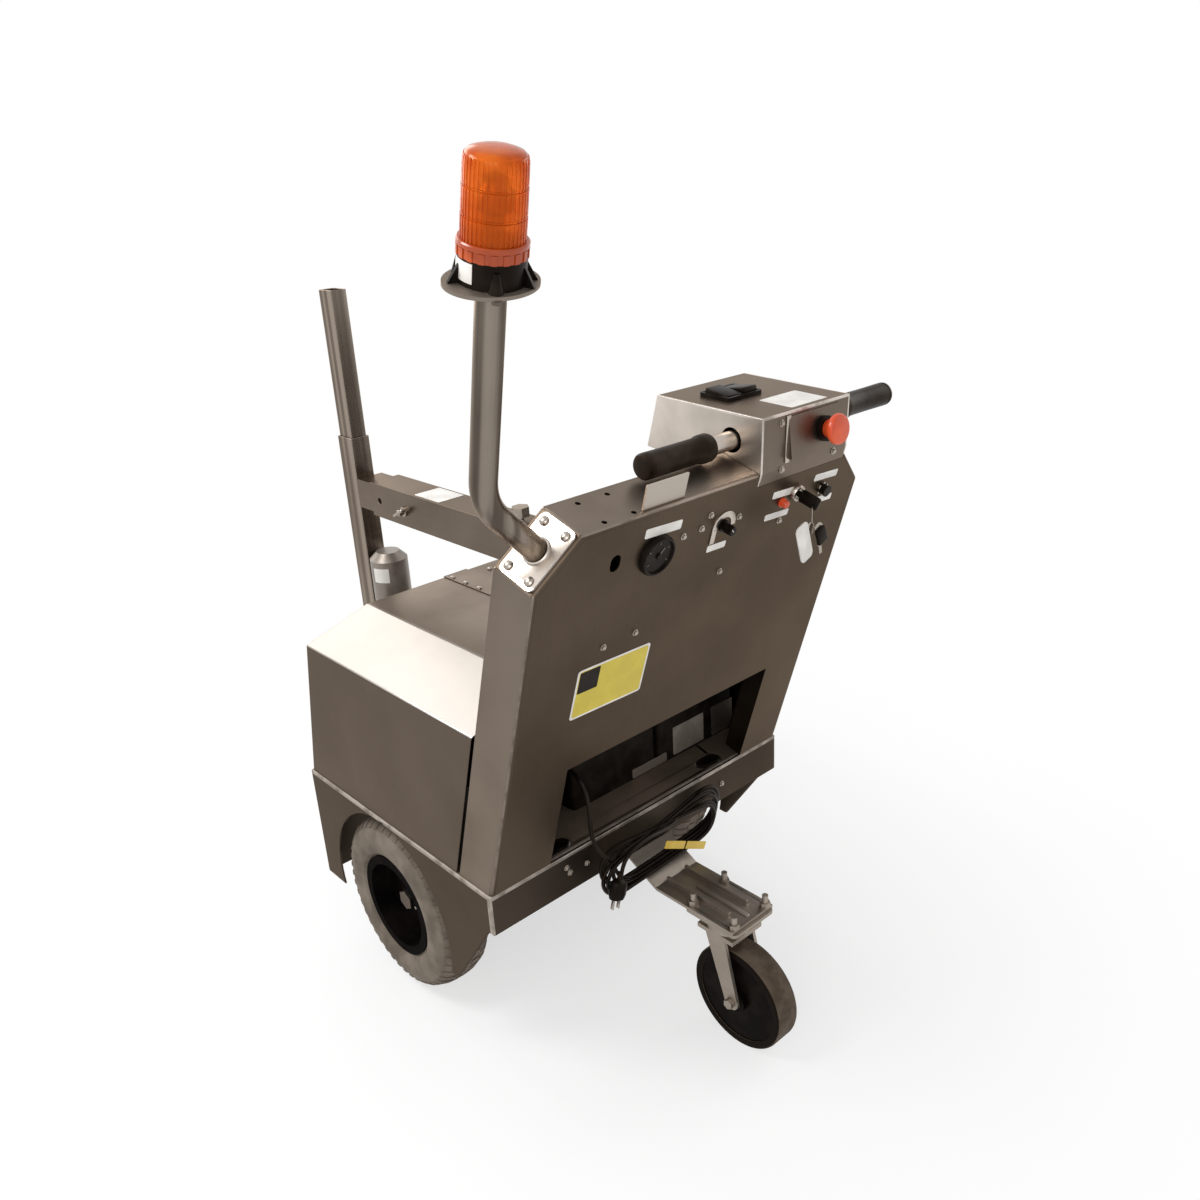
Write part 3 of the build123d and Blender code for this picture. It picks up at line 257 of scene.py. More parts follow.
# Each plane: outward direction, a spot on it, depth and, where it isn't 0.5, softness
baseFolds = [
    (toLeft, (-baseHalf, 0, 0), 3.2),
    (toRight, (baseHalf, 0, 0), 3.2),
    (toSky, (0, 0, ledgeZ), 7),
    (toRear, (0, rearY, 0), 9),
]
consoleFolds = [
    (toLeft, (-consoleHalf, 0, 0), 3.4),
    (toRight, (consoleHalf, 0, 0), 3.4),
    (faceOut, faceFoot, 3.4),
    (faceUp, headFoot, 3.0),
]
headFolds = [
    (toLeft, (headLeft, 0, 0), 3.4),
    (toRight, (headRight, 0, 0), 3.4),
    (headOut, headFoot, 3.4),
    (roofUp, headTop, 3.4),
]
hoodShoulders = [((side * 0.323, 0, 0.946), (side * hoodFlat, 0, hoodTop), 1.5) for side in (-1, 1)]
# Console, head, hood and base are one stainless steel; each has its own dark and light tones, lighter or
# darker as painted light and shade for how that piece is lit
finishes = {
    "console": brushedSteel(
        "consoleSteel", (0.050, 0.036, 0.026), (0.106, 0.080, 0.058), (900, 14, 14), 0.34,
        # Painted highlights: the fold tone along the console's folds, and its left side, its top and what
        # lies above its top painted brighter
        folds=consoleFolds, foldHighlightTone=(0.21, 0.176, 0.147),
        paintedLight=[
            ((toLeft, (-consoleHalf, 0, 0), 1.2, 0.4), (0.195, 0.161, 0.132), 0.6),
            ((faceUp, headFoot, 1.2, 0.4), (0.23, 0.192, 0.160), 0.6),
            ((faceUp, headFoot, -1.5), (0.46, 0.41, 0.36), 0.8),
        ],
    ),
    "head": brushedSteel(
        # Painted highlights: the pale default fold tone along the head's folds, and its left plate painted
        # near white as a painted reflection
        "headSteel", (0.118, 0.093, 0.074), (0.215, 0.177, 0.147), (500, 14, 14), 0.33, folds=headFolds,
        paintedLight=[((toLeft, (headLeft, 0, 0), 1.2, 0.4), (0.74, 0.67, 0.60), 0.45)],
    ),
    "hood": brushedSteel(
        "hoodSteel", (0.070, 0.055, 0.043), (0.126, 0.101, 0.081), (700, 10, 700), 0.31,
        # Painted highlights: the hood's top painted lighter, and its rounded shoulders lighter still
        paintedLight=[
            ((toSky, (0, 0, hoodTop), 1.5), (0.31, 0.264, 0.225), 0.5),
            *[(shoulder, (0.42, 0.388, 0.358), 0.9) for shoulder in hoodShoulders],
        ],
    ),
    "base": brushedSteel(
        "baseSteel", (0.034, 0.026, 0.020), (0.072, 0.056, 0.043), (10, 700, 700), 0.34,
        # Painted highlights: the fold tone along the base's edges, and the ledge top painted lighter as a
        # painted reflection
        folds=baseFolds, foldHighlightTone=(0.40, 0.355, 0.312),
        paintedLight=[((toSky, (0, 0, ledgeZ), 1.2), (0.20, 0.150, 0.110), 0.3)],
        dull=(toSky, (0, 0, ledgeZ), 3.0, 1.2),
    ),
    "pole": brushedSteel(
        "poleSteel", (0.060, 0.047, 0.037), (0.28, 0.238, 0.200), None, 0.22, drawn=(-0.065, -0.298, 0.952),
    ),
    "tube": brushedSteel("tubeSteel", (0.085, 0.067, 0.053), (0.34, 0.288, 0.243), None, 0.22, drawn=toSky),
    "plate": brushedSteel("plateSteel", (0.17, 0.142, 0.117), (0.27, 0.23, 0.195), (120, 120, 120), 0.55),
    "arm": brushedSteel("armSteel", (0.105, 0.084, 0.067), (0.19, 0.157, 0.129), (600, 9, 600), 0.28),
    "bright": brushedSteel("brightSteel", (0.40, 0.35, 0.305), (0.62, 0.565, 0.51), (160, 160, 160), 0.26),
    "bolt": brushedSteel("boltSteel", (0.30, 0.265, 0.23), (0.46, 0.415, 0.37), (200, 200, 200), 0.24),
    "zinc": brushedSteel("zincSteel", (0.23, 0.195, 0.162), (0.42, 0.368, 0.318), (240, 24, 240), 0.46),
    "plain": brushedSteel("plainSteel", (0.09, 0.078, 0.066), (0.16, 0.14, 0.12), (90, 300, 300), 0.38),
    "cast": paintedMetal("castHousing", (0.030, 0.028, 0.026), (0.06, 0.055, 0.05), 0.55, 0.4),
    "motor": paintedMetal("motorPaint", (0.010, 0.010, 0.010), (0.03, 0.027, 0.025), 0.42),
    "rim": paintedMetal("rimPaint", (0.0025, 0.002, 0.002), (0.007, 0.0055, 0.005), 0.5, **warmGloss(0.005)),
    "tyre": treadRubber(
        "tyreRubber",
        (0.112, 0.090, 0.071), (0.200, 0.166, 0.132),
        (0.088, 0.069, 0.054), (0.165, 0.133, 0.106),
    ),
    "caster": casterRubber(
        "casterRubber", (0.068, 0.051, 0.037), (0.122, 0.094, 0.071), (0.006, 0.0042, 0.0032),
    ),
    "grip": mouldedPlastic(
        "gripRubber", (0.0095, 0.0058, 0.0036), (0.027, 0.0185, 0.0125), 0.4, 500.0, 0.3, **warmGloss(0.1),
    ),
    "black": mouldedPlastic(
        "blackPlastic", (0.004, 0.003, 0.0025), (0.013, 0.010, 0.008), 0.36, **warmGloss(0.1),
    ),
    "core": mouldedPlastic(
        "casterCore", (0.003, 0.0022, 0.0018), (0.009, 0.0065, 0.005), 0.3, 300.0, 0.1, **warmGloss(0.025),
    ),
    "red": mouldedPlastic("redPlastic", (0.60, 0.062, 0.014), (0.72, 0.095, 0.024), 0.3, 900.0, 0.05),
    "amber": mouldedPlastic(
        "amberPlastic", (0.66, 0.100, 0.006), (0.84, 0.175, 0.016), 0.17, 300.0, 0.05,
        Transmission_Weight=0.5, IOR=1.42, Specular_IOR_Level=0.3, Specular_Tint=(1, 0.62, 0.3, 1),
    ),
    "amberRing": mouldedPlastic("amberRing", (0.34, 0.044, 0.003), (0.54, 0.086, 0.006), 0.2, 300.0, 0.05),
    "white": mouldedPlastic("labelWhite", (0.66, 0.63, 0.59), (0.80, 0.77, 0.73), 0.45, 900.0, 0.03),
    # greyish brown label tone, darker than the white labels
    "dimLabel": mouldedPlastic("labelGreyBrown", (0.15, 0.125, 0.10), (0.23, 0.197, 0.165), 0.5, 900.0, 0.03),
    "yellow": mouldedPlastic("stickerYellow", (0.54, 0.42, 0.024), (0.62, 0.49, 0.038), 0.4, 900.0, 0.03),
    "tape": mouldedPlastic("tapeYellow", (0.60, 0.40, 0.045), (0.72, 0.51, 0.085), 0.5, 900.0, 0.06),
    "case": mouldedPlastic(
        "batteryCase", (0.004, 0.003, 0.0025), (0.014, 0.011, 0.009), 0.45, 350.0, 0.3, **warmGloss(0.1),
    ),
    "charger": paintedMetal("chargerPaint", (0.020, 0.018, 0.016), (0.04, 0.036, 0.032), 0.45),
    "actuator": paintedMetal("actuatorPaint", (0.20, 0.172, 0.146), (0.30, 0.262, 0.226), 0.36, 0.6),
    "cord": mouldedPlastic(
        "cordSheath", (0.004, 0.003, 0.0025), (0.012, 0.009, 0.007), 0.36, 260.0, 0.08, **warmGloss(0.16),
    ),
}
print("finishes made,", len(finishes))

nodeFinish = {
    "console": "console_shell console_front_panel",
    "head": "head_box estop_bracket",
    "hood": "hood_left hood_right",
    "base": "chassis_base",
    "pole": "beacon_pole",
    "tube": "mast_outer mast_inner actuator_rod",
    "arm": "arm_outer arm_inner",
    "plate": "beacon_plate",
    "bright": "pole_flange handlebar",
    "zinc": "caster_bracket caster_plate caster_fork caster_axle arm_clamp",
    "plain": "axle_hangers mast_bracket tow_carriage half_shaft_left half_shaft_right",
    "cast": "transaxle",
    "motor": "drive_motor",
    "rim": "rim_left rim_right",
    "caster": "caster_tread",
    "black": "handle_bearing estop_collar beacon_base cord_gland mains_plug",
    "core": "caster_core",
    "case": "batteries",
    "charger": "charger",
    "actuator": "lift_actuator",
}
edgeRound = {  # millimetres, by finish
    "console": 0.9, "head": 0.9, "hood": 1.2, "base": 3.4, "arm": 1.2, "pole": 1.2, "tube": 1.2,
    "zinc": 0.7, "bright": 0.6, "charger": 2.0,
}


sheetEdge = {"weld": 0.02, "flat": 0.5, "angle": 32, "segments": 2}  # millimetres, then degrees


def softenEdges(piece, width):  # sheet edges catch the light
    weld = piece.modifiers.new("weld", "WELD")
    weld.merge_threshold = sheetEdge["weld"] * mm
    if piece == nodes["arm_outer"]:  # its drilled wall is one sheet again, so that the rounding runs true
        flat = piece.modifiers.new("flat", "DECIMATE")
        flat.decimate_type = "DISSOLVE"
        flat.angle_limit = radians(sheetEdge["flat"])
    bevel = piece.modifiers.new("edge", "BEVEL")
    bevel.width = width * mm
    bevel.segments = sheetEdge["segments"]
    bevel.limit_method = "ANGLE"
    bevel.angle_limit = radians(sheetEdge["angle"])
    bevel.harden_normals = True


for finishName, nodeNames in nodeFinish.items():
    for nodeName in nodeNames.split():
        node = nodes[nodeName]
        node.data.materials.clear()
        node.data.materials.append(finishes[finishName])
        if finishName in edgeRound:
            softenEdges(node, edgeRound[finishName])
print("nodes dressed")


sharpAngle = 35  # degrees, edges past it are rounded or shaded hard


def clearSelection():
    if bpy.context.mode != "OBJECT":
        bpy.ops.object.mode_set(mode="OBJECT")
    bpy.ops.object.select_all(action="DESELECT")


def pick(piece):
    clearSelection()
    piece.select_set(True)
    bpy.context.view_layer.objects.active = piece


def settle(piece, matrix):  # puts a piece modelled at the origin in its place
    pick(piece)
    piece.matrix_world = matrix @ piece.matrix_world
    bpy.ops.object.transform_apply(location=True, rotation=True, scale=True)
    return piece


def shift(x=0, y=0, z=0):
    return Matrix.Translation((x * mm, y * mm, z * mm))


def spin(degrees, axis="Z"):
    return Matrix.Rotation(radians(degrees), 4, axis)


def block(size, soft, segments=2):  # a box with rounded edges
    clearSelection()
    bpy.ops.mesh.primitive_cube_add(size=1)
    piece = bpy.context.object
    piece.scale = [length * mm for length in size]
    settle(piece, Matrix())
    bevel = piece.modifiers.new("round", "BEVEL")
    bevel.width = soft * mm
    bevel.segments = segments
    bevel.limit_method = "ANGLE"
    bevel.angle_limit = radians(sharpAngle)
    bpy.ops.object.modifier_apply(modifier=bevel.name)
    return piece


def turned(rows, sides, closed=False):  # rows of radius and height, turned about Z
    clearSelection()
    radius, height = rows[0]
    fill = "NOTHING" if closed else "NGON"
    bpy.ops.mesh.primitive_circle_add(
        vertices=sides, radius=radius * mm, location=(0, 0, height * mm), fill_type=fill,
    )
    piece = bpy.context.object
    bpy.ops.object.transform_apply(location=True)
    bpy.ops.object.mode_set(mode="EDIT")
    bpy.ops.mesh.select_all(action="SELECT")
    loop = rows[1:] + rows[:1] if closed else rows[1:]
    for nextRadius, nextHeight in loop:
        grow = nextRadius / radius
        rise = {"value": (0, 0, (nextHeight - height) * mm)}
        if closed:
            bpy.ops.mesh.extrude_edges_move(TRANSFORM_OT_translate=rise)
        else:
            bpy.ops.mesh.extrude_region_move(TRANSFORM_OT_translate=rise)
        bpy.ops.transform.resize(value=(grow, grow, 1), center_override=(0, 0, nextHeight * mm))
        radius, height = nextRadius, nextHeight
    bpy.ops.mesh.select_all(action="SELECT")
    bpy.ops.mesh.remove_doubles(threshold=0.005 * mm)
    bpy.ops.mesh.normals_make_consistent(inside=False)
    bpy.ops.object.mode_set(mode="OBJECT")
    return piece


def copyTo(piece, matrix):
    pick(piece)
    bpy.ops.object.duplicate(linked=False)
    return settle(bpy.context.object, matrix)


def fuse(pieces):
    clearSelection()
    for piece in pieces:
        piece.select_set(True)
    bpy.context.view_layer.objects.active = pieces[0]
    bpy.ops.object.join()
    return bpy.context.object


def repeat(piece, places):  # the pattern piece goes, its copies stay as one
    copies = [copyTo(piece, place) for place in places]
    bpy.data.objects.remove(piece)
    return fuse(copies)


def hang(piece, name, finishName, body="chassis", stands=(), angle=sharpAngle):
    piece.name = name
    piece.data.name = name
    piece.data.materials.clear()
    piece.data.materials.append(finishes[finishName])
    pick(piece)
    bpy.ops.object.shade_smooth_by_angle(angle=radians(angle))
    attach(piece, body)
    if stands:
        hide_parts(*stands)
    return piece


def axes(across, upward, outward, spot):
    columns = (Vector(across), Vector(upward), Vector(outward), Vector(spot) * mm)
    return Matrix([[column[row] for column in columns] for row in range(3)] + [[0, 0, 0, 1]])


def onFace(x, up, out=0.0, turn=0.0):  # on the console's leaning face
    spot = Vector((x, rearY, ledgeZ)) + faceUp * up + faceOut * out
    return axes(toRight, faceUp, faceOut, spot) @ spin(turn)


def onHead(x, up, out):  # on the head's rear face
    return axes(toRight, headUp, headOut, Vector((x, 0, 0)) + headFoot + headUp * up + headOut * out)


def onRoof(x, ahead):  # on the head's top
    return axes(toRight, roofAhead, roofUp, Vector((x, 0, 0)) + headTop + roofAhead * ahead)


def onRear(x, z, out=0.0):  # on the rear skirt
    return axes(toRight, toSky, toRear, (x, rearY - out, z))


def onTop(x, y, z):
    return axes(toRight, (0, 1, 0), toSky, (x, y, z))


def onLeft(x, y, z):
    return axes(toRear, toSky, toLeft, (x, y, z))


beaconFoot = Vector((-416.744, -570.042, 1282.63))
beaconOut = Vector((-0.064532, -0.298417, 0.952251))
beaconAcross = Vector((0, 0.95424, 0.299041))


def onBeacon(up, turn=0.0):  # along the beacon's leaning axis
    upward = beaconOut.cross(beaconAcross)
    return axes(beaconAcross, upward, beaconOut, beaconFoot + beaconOut * up) @ spin(turn)


estopFoot = Vector((205, -517.931, 1003.63))
estopOut = Vector((0, -0.996195, 0.087156))


def onEstop(out):
    return axes(toRight, estopOut.cross(Vector(toRight)), estopOut, estopFoot + estopOut * out)


cornerPlate = {"x": -301.5, "up": 598.5, "deep": 38.5}  # its middle, from the foot of the face
cornerAlong = (Vector(toRight) + faceUp) / 2 ** 0.5
cornerOut = (faceUp - Vector(toRight)) / 2 ** 0.5


def onCorner(run, deep, out):  # on the plate at the console's cut corner
    middle = Vector((cornerPlate["x"], rearY, ledgeZ)) + faceUp * cornerPlate["up"]
    middle -= faceOut * cornerPlate["deep"]
    spot = middle + cornerAlong * run - faceOut * deep + cornerOut * out
    return axes(cornerAlong, -faceOut, cornerOut, spot)


def onWheel(side, out=0.0):  # local Z points away from the chassis
    return axes((0, side, 0), toSky, (side, 0, 0), (side * (wheelX + out), 0, axleZ))


def along(start, end):  # local Z runs from start to end
    run = (Vector(end) - Vector(start)).normalized()
    return shift(*start) @ run.to_track_quat("Z", "Y").to_matrix().to_4x4()


def raiseFaces(piece, wanted, height):
    pick(piece)
    bpy.ops.object.mode_set(mode="EDIT")
    bpy.ops.mesh.select_mode(type="FACE")
    bpy.ops.mesh.select_all(action="DESELECT")
    bpy.ops.object.mode_set(mode="OBJECT")
    for face in piece.data.polygons:
        face.select = wanted(face.center / mm, face.normal)
    bpy.ops.object.mode_set(mode="EDIT")
    bpy.ops.mesh.extrude_region_shrink_fatten(TRANSFORM_OT_shrink_fatten={"value": height * mm})
    bpy.ops.object.mode_set(mode="OBJECT")
    return piece


def isUpright(normal):  # of a wall of a turned piece
    return abs(normal.z) < 0.2


def column(spot, count):  # which slice of a turned piece a face belongs to
    return int(floor(atan2(spot.y, spot.x) / (2 * pi) * count)) % count


def roundedPlate(width, height, thick, corner, recess=None):  # recess: wall and depth
    clearSelection()
    bpy.ops.mesh.primitive_plane_add(size=1)
    piece = bpy.context.object
    piece.scale = (width * mm, height * mm, 1)
    bpy.ops.object.transform_apply(scale=True)
    bpy.ops.object.mode_set(mode="EDIT")
    bpy.ops.mesh.select_all(action="SELECT")
    bpy.ops.mesh.bevel(offset=corner * mm, segments=4, affect="VERTICES")
    bpy.ops.mesh.select_all(action="SELECT")
    bpy.ops.mesh.extrude_region_move(TRANSFORM_OT_translate={"value": (0, 0, thick * mm)})
    if recess:
        bpy.ops.mesh.inset(thickness=recess[0] * mm)
        bpy.ops.mesh.extrude_region_move(TRANSFORM_OT_translate={"value": (0, 0, -recess[1] * mm)})
    bpy.ops.mesh.select_all(action="SELECT")
    bpy.ops.mesh.normals_make_consistent(inside=False)
    bpy.ops.object.mode_set(mode="OBJECT")
    return piece


def trim(piece, point, direction):  # keeps what lies against the direction
    pick(piece)
    bpy.ops.object.mode_set(mode="EDIT")
    bpy.ops.mesh.select_all(action="SELECT")
    bpy.ops.mesh.bisect(
        plane_co=[part * mm for part in point], plane_no=direction, use_fill=True, clear_outer=True,
    )
    bpy.ops.object.mode_set(mode="OBJECT")
    return piece


wrap = {"thick": 2, "half": 26, "sides": 72}  # half is in degrees


def wrapLabel(radius, tall):  # a label bent round a cylinder, facing -Y
    inner = radius - wrap["thick"]
    half = radians(wrap["half"])
    label = turned([(inner, 0), (radius, 0), (radius, tall), (inner, tall)], wrap["sides"], closed=True)
    for side in (-1, 1):
        trim(label, (0, 0, 0), (side * cos(half), sin(half), 0))
    return label


def ring(radius, thick, sides, around):
    swings = [2 * pi * step / around for step in range(around)]
    return turned([(radius + thick * cos(swing), thick * sin(swing)) for swing in swings], sides, closed=True)


def bolt(size):  # six-sided head on its washer
    head = turned([(6 * size, 0), (6 * size, 3.4 * size), (5 * size, 4.6 * size), (0.5, 4.9 * size)], sides=6)
    washer = turned([(8.6 * size, 0), (8.6 * size, size), (8 * size, 1.5 * size), (1, 1.5 * size)], sides=20)
    return fuse([settle(head, shift(z=1.5 * size)), washer])


def dome(size):  # round bolt head
    rows = [(7, 0), (7, 1), (6.4, 3), (4.6, 4.4)]
    return turned([(radius * size, height * size) for radius, height in rows] + [(0.5, 5 * size)], sides=18)


view = {
    "place": (-1.0919, -1.4820, 1.3941),
    "azimuth": -41.03,
    "elevation": 22.15,
    "roll": 3.5,
    "lens": 32.646,
    "sensor": 36,
    "nearest": 0.02,
}
clearSelection()
bpy.ops.object.camera_add()
camera = bpy.context.object
camera.matrix_world = (
    Matrix.Translation(view["place"])
    @ spin(view["azimuth"])
    @ spin(90 - view["elevation"], "X")
    @ spin(-view["roll"])
)
camera.data.lens = view["lens"]
camera.data.sensor_width = view["sensor"]
camera.data.sensor_fit = "AUTO"
camera.data.clip_start = view["nearest"]
bpy.context.scene.camera = camera

lamps = {  # place, size, power, aim
    "hoodBox": ((0.0, 2.2, 2.2), 2.1, 28, (-0.25, 0, 0.65)),
    "cornerBox": ((-1.5, 0.4, 2.5), 0.9, 34, (-0.3, -0.46, 0.95)),
    "operatorFill": ((-2.6, -2.4, 2.4), 2.0, 36, (0, -0.1, 0.6)),
    "rightFill": ((2.8, -0.9, 1.8), 1.6, 20, (0, 0, 0.6)),
}
for lampName, (place, size, power, aim) in lamps.items():
    bpy.ops.object.light_add(type="AREA", location=place)
    lamp = bpy.context.object
    lamp.name = lampName
    lamp.data.size = size
    lamp.data.energy = power
    lamp.rotation_euler = (Vector(aim) - Vector(place)).to_track_quat("-Z", "Y").to_euler()

skyLevel = {"lighting": 0.5, "seen": 1.0}  # as light on matt surfaces, and where it is seen or mirrored
world = bpy.data.worlds.new("studio")
bpy.context.scene.world = world
world.use_nodes = True
sky = world.node_tree
rays = sky.nodes.new("ShaderNodeLightPath")
mirrored = sky.nodes.new("ShaderNodeMath")
mirrored.operation = "MAXIMUM"
sky.links.new(rays.outputs["Is Glossy Ray"], mirrored.inputs[0])
sky.links.new(rays.outputs["Is Transmission Ray"], mirrored.inputs[1])
seen = sky.nodes.new("ShaderNodeMath")
seen.operation = "MAXIMUM"
sky.links.new(rays.outputs["Is Camera Ray"], seen.inputs[0])
sky.links.new(mirrored.outputs[0], seen.inputs[1])
level = sky.nodes.new("ShaderNodeMapRange")
sky.links.new(seen.outputs[0], level.inputs[0])
level.inputs["To Min"].default_value = skyLevel["lighting"]
level.inputs["To Max"].default_value = skyLevel["seen"]
sky.nodes["Background"].inputs["Color"].default_value = (1, 1, 1, 1)
sky.links.new(level.outputs[0], sky.nodes["Background"].inputs["Strength"])
bpy.context.scene.view_settings.view_transform = "Standard"

paleFloor = {"size": 24, "tone": (0.93, 0.93, 0.93, 1), "rough": 0.95, "fade": (0.95, 0.55), "glow": 0.64}
clearSelection()
bpy.ops.mesh.primitive_plane_add(size=paleFloor["size"])
ground = bpy.context.object
ground.name = "floor"
floorFinish = Finish("paleFloor")
floorFinish.set(Base_Color=paleFloor["tone"], Roughness=paleFloor["rough"])
away = floorFinish.distance(floorFinish.coords()).above(*paleFloor["fade"])
glow = floorFinish.node("Emission", None, {"Color": (1, 1, 1, 1), "Strength": 1.0})
floorMix = floorFinish.tree.nodes.new("ShaderNodeMixShader")
floorFinish.plug(floorMix.inputs[0], away * (1 - paleFloor["glow"]) + paleFloor["glow"])
floorFinish.tree.links.new(floorFinish.shader.outputs[0], floorMix.inputs[1])
floorFinish.tree.links.new(glow.socket, floorMix.inputs[2])
floorFinish.tree.links.new(floorMix.outputs[0], floorFinish.tree.nodes["Material Output"].inputs["Surface"])
ground.data.materials.append(floorFinish.material)
print("camera and light set")


tyre = {
    "half": [  # radius and distance from the middle plane
        (85.5, 41.5), (97.5, 42.5), (103, 48.6), (112, 50.8), (128, 51.5),
        (140, 49.5), (150, 45), (157.5, 37), (163.5, 20), (165, 5),
    ],
    "columns": 92,
    "lug": 1.8,
    "lugsFrom": 149,  # radius
    "groove": 7,  # half width of the bare middle
    "inner": 21,  # lugs nearer the middle than this are one column on
}
hub = {
    "out": 2,  # seat of nuts and valve, from the wheel's middle plane
    "nut": 1.25,
    "nutCircle": 46,
    "nutTurns": (0.6, 2.17, 3.74, 5.31),  # radians
    "valve": [(4.5, 0), (4.5, 12), (3, 13.5), (3, 24), (3.6, 24.5), (3.6, 33), (2.6, 34), (0.5, 34)],
    "valveSpot": (50, 22),
    "valveTilt": 14,
}


def isLug(spot, normal):
    onTread = spot.to_2d().length > tyre["lugsFrom"] and abs(spot.z) > tyre["groove"]
    return onTread and column(spot, tyre["columns"]) % 2 == (0 if abs(spot.z) > tyre["inner"] else 1)


for side, sideName in ((-1, "left"), (1, "right")):
    body = "wheel_" + sideName
    rows = tyre["half"] + [(radius, -height) for radius, height in reversed(tyre["half"])]
    carcass = raiseFaces(turned(rows, tyre["columns"], closed=True), isLug, tyre["lug"])
    carcass = settle(carcass, onWheel(side))
    hang(carcass, body + "Tyre", "tyre", body, ["tyre_" + sideName], angle=28)
    hubPlace = onWheel(side, hub["out"])
    nutSpots = [(hub["nutCircle"] * cos(turn), hub["nutCircle"] * sin(turn)) for turn in hub["nutTurns"]]
    nuts = repeat(bolt(hub["nut"]), [hubPlace @ shift(*spot) for spot in nutSpots])
    hang(nuts, body + "Nuts", "bolt", body)
    valvePlace = hubPlace @ shift(*hub["valveSpot"]) @ spin(hub["valveTilt"], "X")
    hang(settle(turned(hub["valve"], sides=12), valvePlace), body + "Valve", "bolt", body)
print("wheels dressed")


beacon = {
    "lens": [
        (32.2, 0), (32.2, 22), (31.4, 22.6), (31.4, 24.2), (32, 24.8), (31.8, 50), (31, 50.6), (31, 52.2),
        (31.6, 52.8), (31.2, 73), (30.2, 78), (27.4, 81.4), (20, 83.8), (10, 85), (0.5, 85.2),
    ],
    "lensUp": 47,
    "lensColumns": 80,
    "rib": 0.8,
    "ribsFrom": 28,  # radius
    "ring": [(31, 0), (35.4, 0), (35.4, 10), (36.6, 10.6), (36.8, 14.6), (35.4, 16), (31, 16)],
    "ringUp": 31,
    "ringColumns": 72,
    "tooth": 1.3,
    "teethFrom": 34,  # radius
    "teethTo": 10,  # height on the ring
    "reflector": [
        (24, 0), (24, 2), (7, 6), (7, 22), (13, 26), (13, 44), (9, 50), (9, 56), (4, 60), (0.5, 60),
    ],
    "reflectorUp": 50,
    "buttress": (4, 13, 22),
    "buttressCut": ((0, 6.5, -11), (0, 0.86, 0.51)),  # spot and outward direction
    "buttressUp": 15,
    "buttressOut": 41,
    "buttressTurns": (120, 152, 262, 345),
    "label": (36, 20),  # radius and height
    "labelUp": 9,
    "labelTurn": 174,
    "nut": 0.9,
    "nutOut": 40,
    "nutTurns": (60, 180, 300),
}


def isRib(spot, normal):
    onWall = isUpright(normal) and spot.to_2d().length > beacon["ribsFrom"]
    return onWall and column(spot, beacon["lensColumns"]) % 2 == 0


def isTooth(spot, normal):
    onWall = isUpright(normal) and spot.to_2d().length > beacon["teethFrom"]
    return onWall and spot.z < beacon["teethTo"] and column(spot, beacon["ringColumns"]) % 4 < 2


lensShell = raiseFaces(turned(beacon["lens"], beacon["lensColumns"]), isRib, beacon["rib"])
lensShell = settle(lensShell, onBeacon(beacon["lensUp"]))
hang(lensShell, "beaconLens", "amber", stands=["beacon_lens"], angle=40)
lensRing = raiseFaces(turned(beacon["ring"], beacon["ringColumns"], closed=True), isTooth, beacon["tooth"])
hang(settle(lensRing, onBeacon(beacon["ringUp"])), "beaconRing", "amberRing")
reflector = settle(turned(beacon["reflector"], sides=28), onBeacon(beacon["reflectorUp"]))
hang(reflector, "beaconReflector", "bright")
buttress = trim(block(beacon["buttress"], soft=0.8), *beacon["buttressCut"])
buttresses = repeat(
    buttress,
    [
        onBeacon(beacon["buttressUp"], turn) @ shift(y=beacon["buttressOut"])
        for turn in beacon["buttressTurns"]
    ],
)
hang(buttresses, "beaconButtresses", "black")
beaconLabel = settle(wrapLabel(*beacon["label"]), onBeacon(beacon["labelUp"], beacon["labelTurn"]))
hang(beaconLabel, "beaconLabel", "white")
plateNuts = repeat(
    bolt(beacon["nut"]),
    [onBeacon(0, turn) @ shift(y=beacon["nutOut"]) @ spin(180, "X") for turn in beacon["nutTurns"]],
)
hang(plateNuts, "beaconPlateNuts", "plain")

poleFoot = {
    "bead": (17.2, 3.0),  # radius and thickness
    "beadOut": 6,
    "bolt": 1.0,
    "boltSpots": [(-36, -21), (-36, 21), (36, -21), (36, 21)],
    "boltOut": 5,
}
footBead = settle(ring(*poleFoot["bead"], sides=32, around=8), onCorner(0, 0, poleFoot["beadOut"]))
hang(footBead, "poleFootBead", "bright")
cornerPlaces = [onCorner(*spot, poleFoot["boltOut"]) for spot in poleFoot["boltSpots"]]
cornerBolts = repeat(dome(poleFoot["bolt"]), cornerPlaces)
hang(cornerBolts, "cornerBolts", "bolt")
print("beacon dressed")


grip = {
    "rows": [
        (0.5, 0.6), (13, 0), (16.8, 1.0), (18.6, 3.4), (19, 7), (18.2, 8), (18.2, 9.6), (19, 10.6),
        (18.6, 60), (18.8, 108), (20.6, 113), (21, 119), (21, 128), (19.6, 132.5), (15, 134),
    ],
    "ends": (-110, 453),  # x of the bar's two ends
    "bar": (-454, 1004),  # its y and z
}
grips = [
    settle(turned(grip["rows"], sides=40), along((end, *grip["bar"]), (0, *grip["bar"])))
    for end in grip["ends"]
]
hang(fuse(grips), "handGrips", "grip", stands=["grips"])
print("grips made")


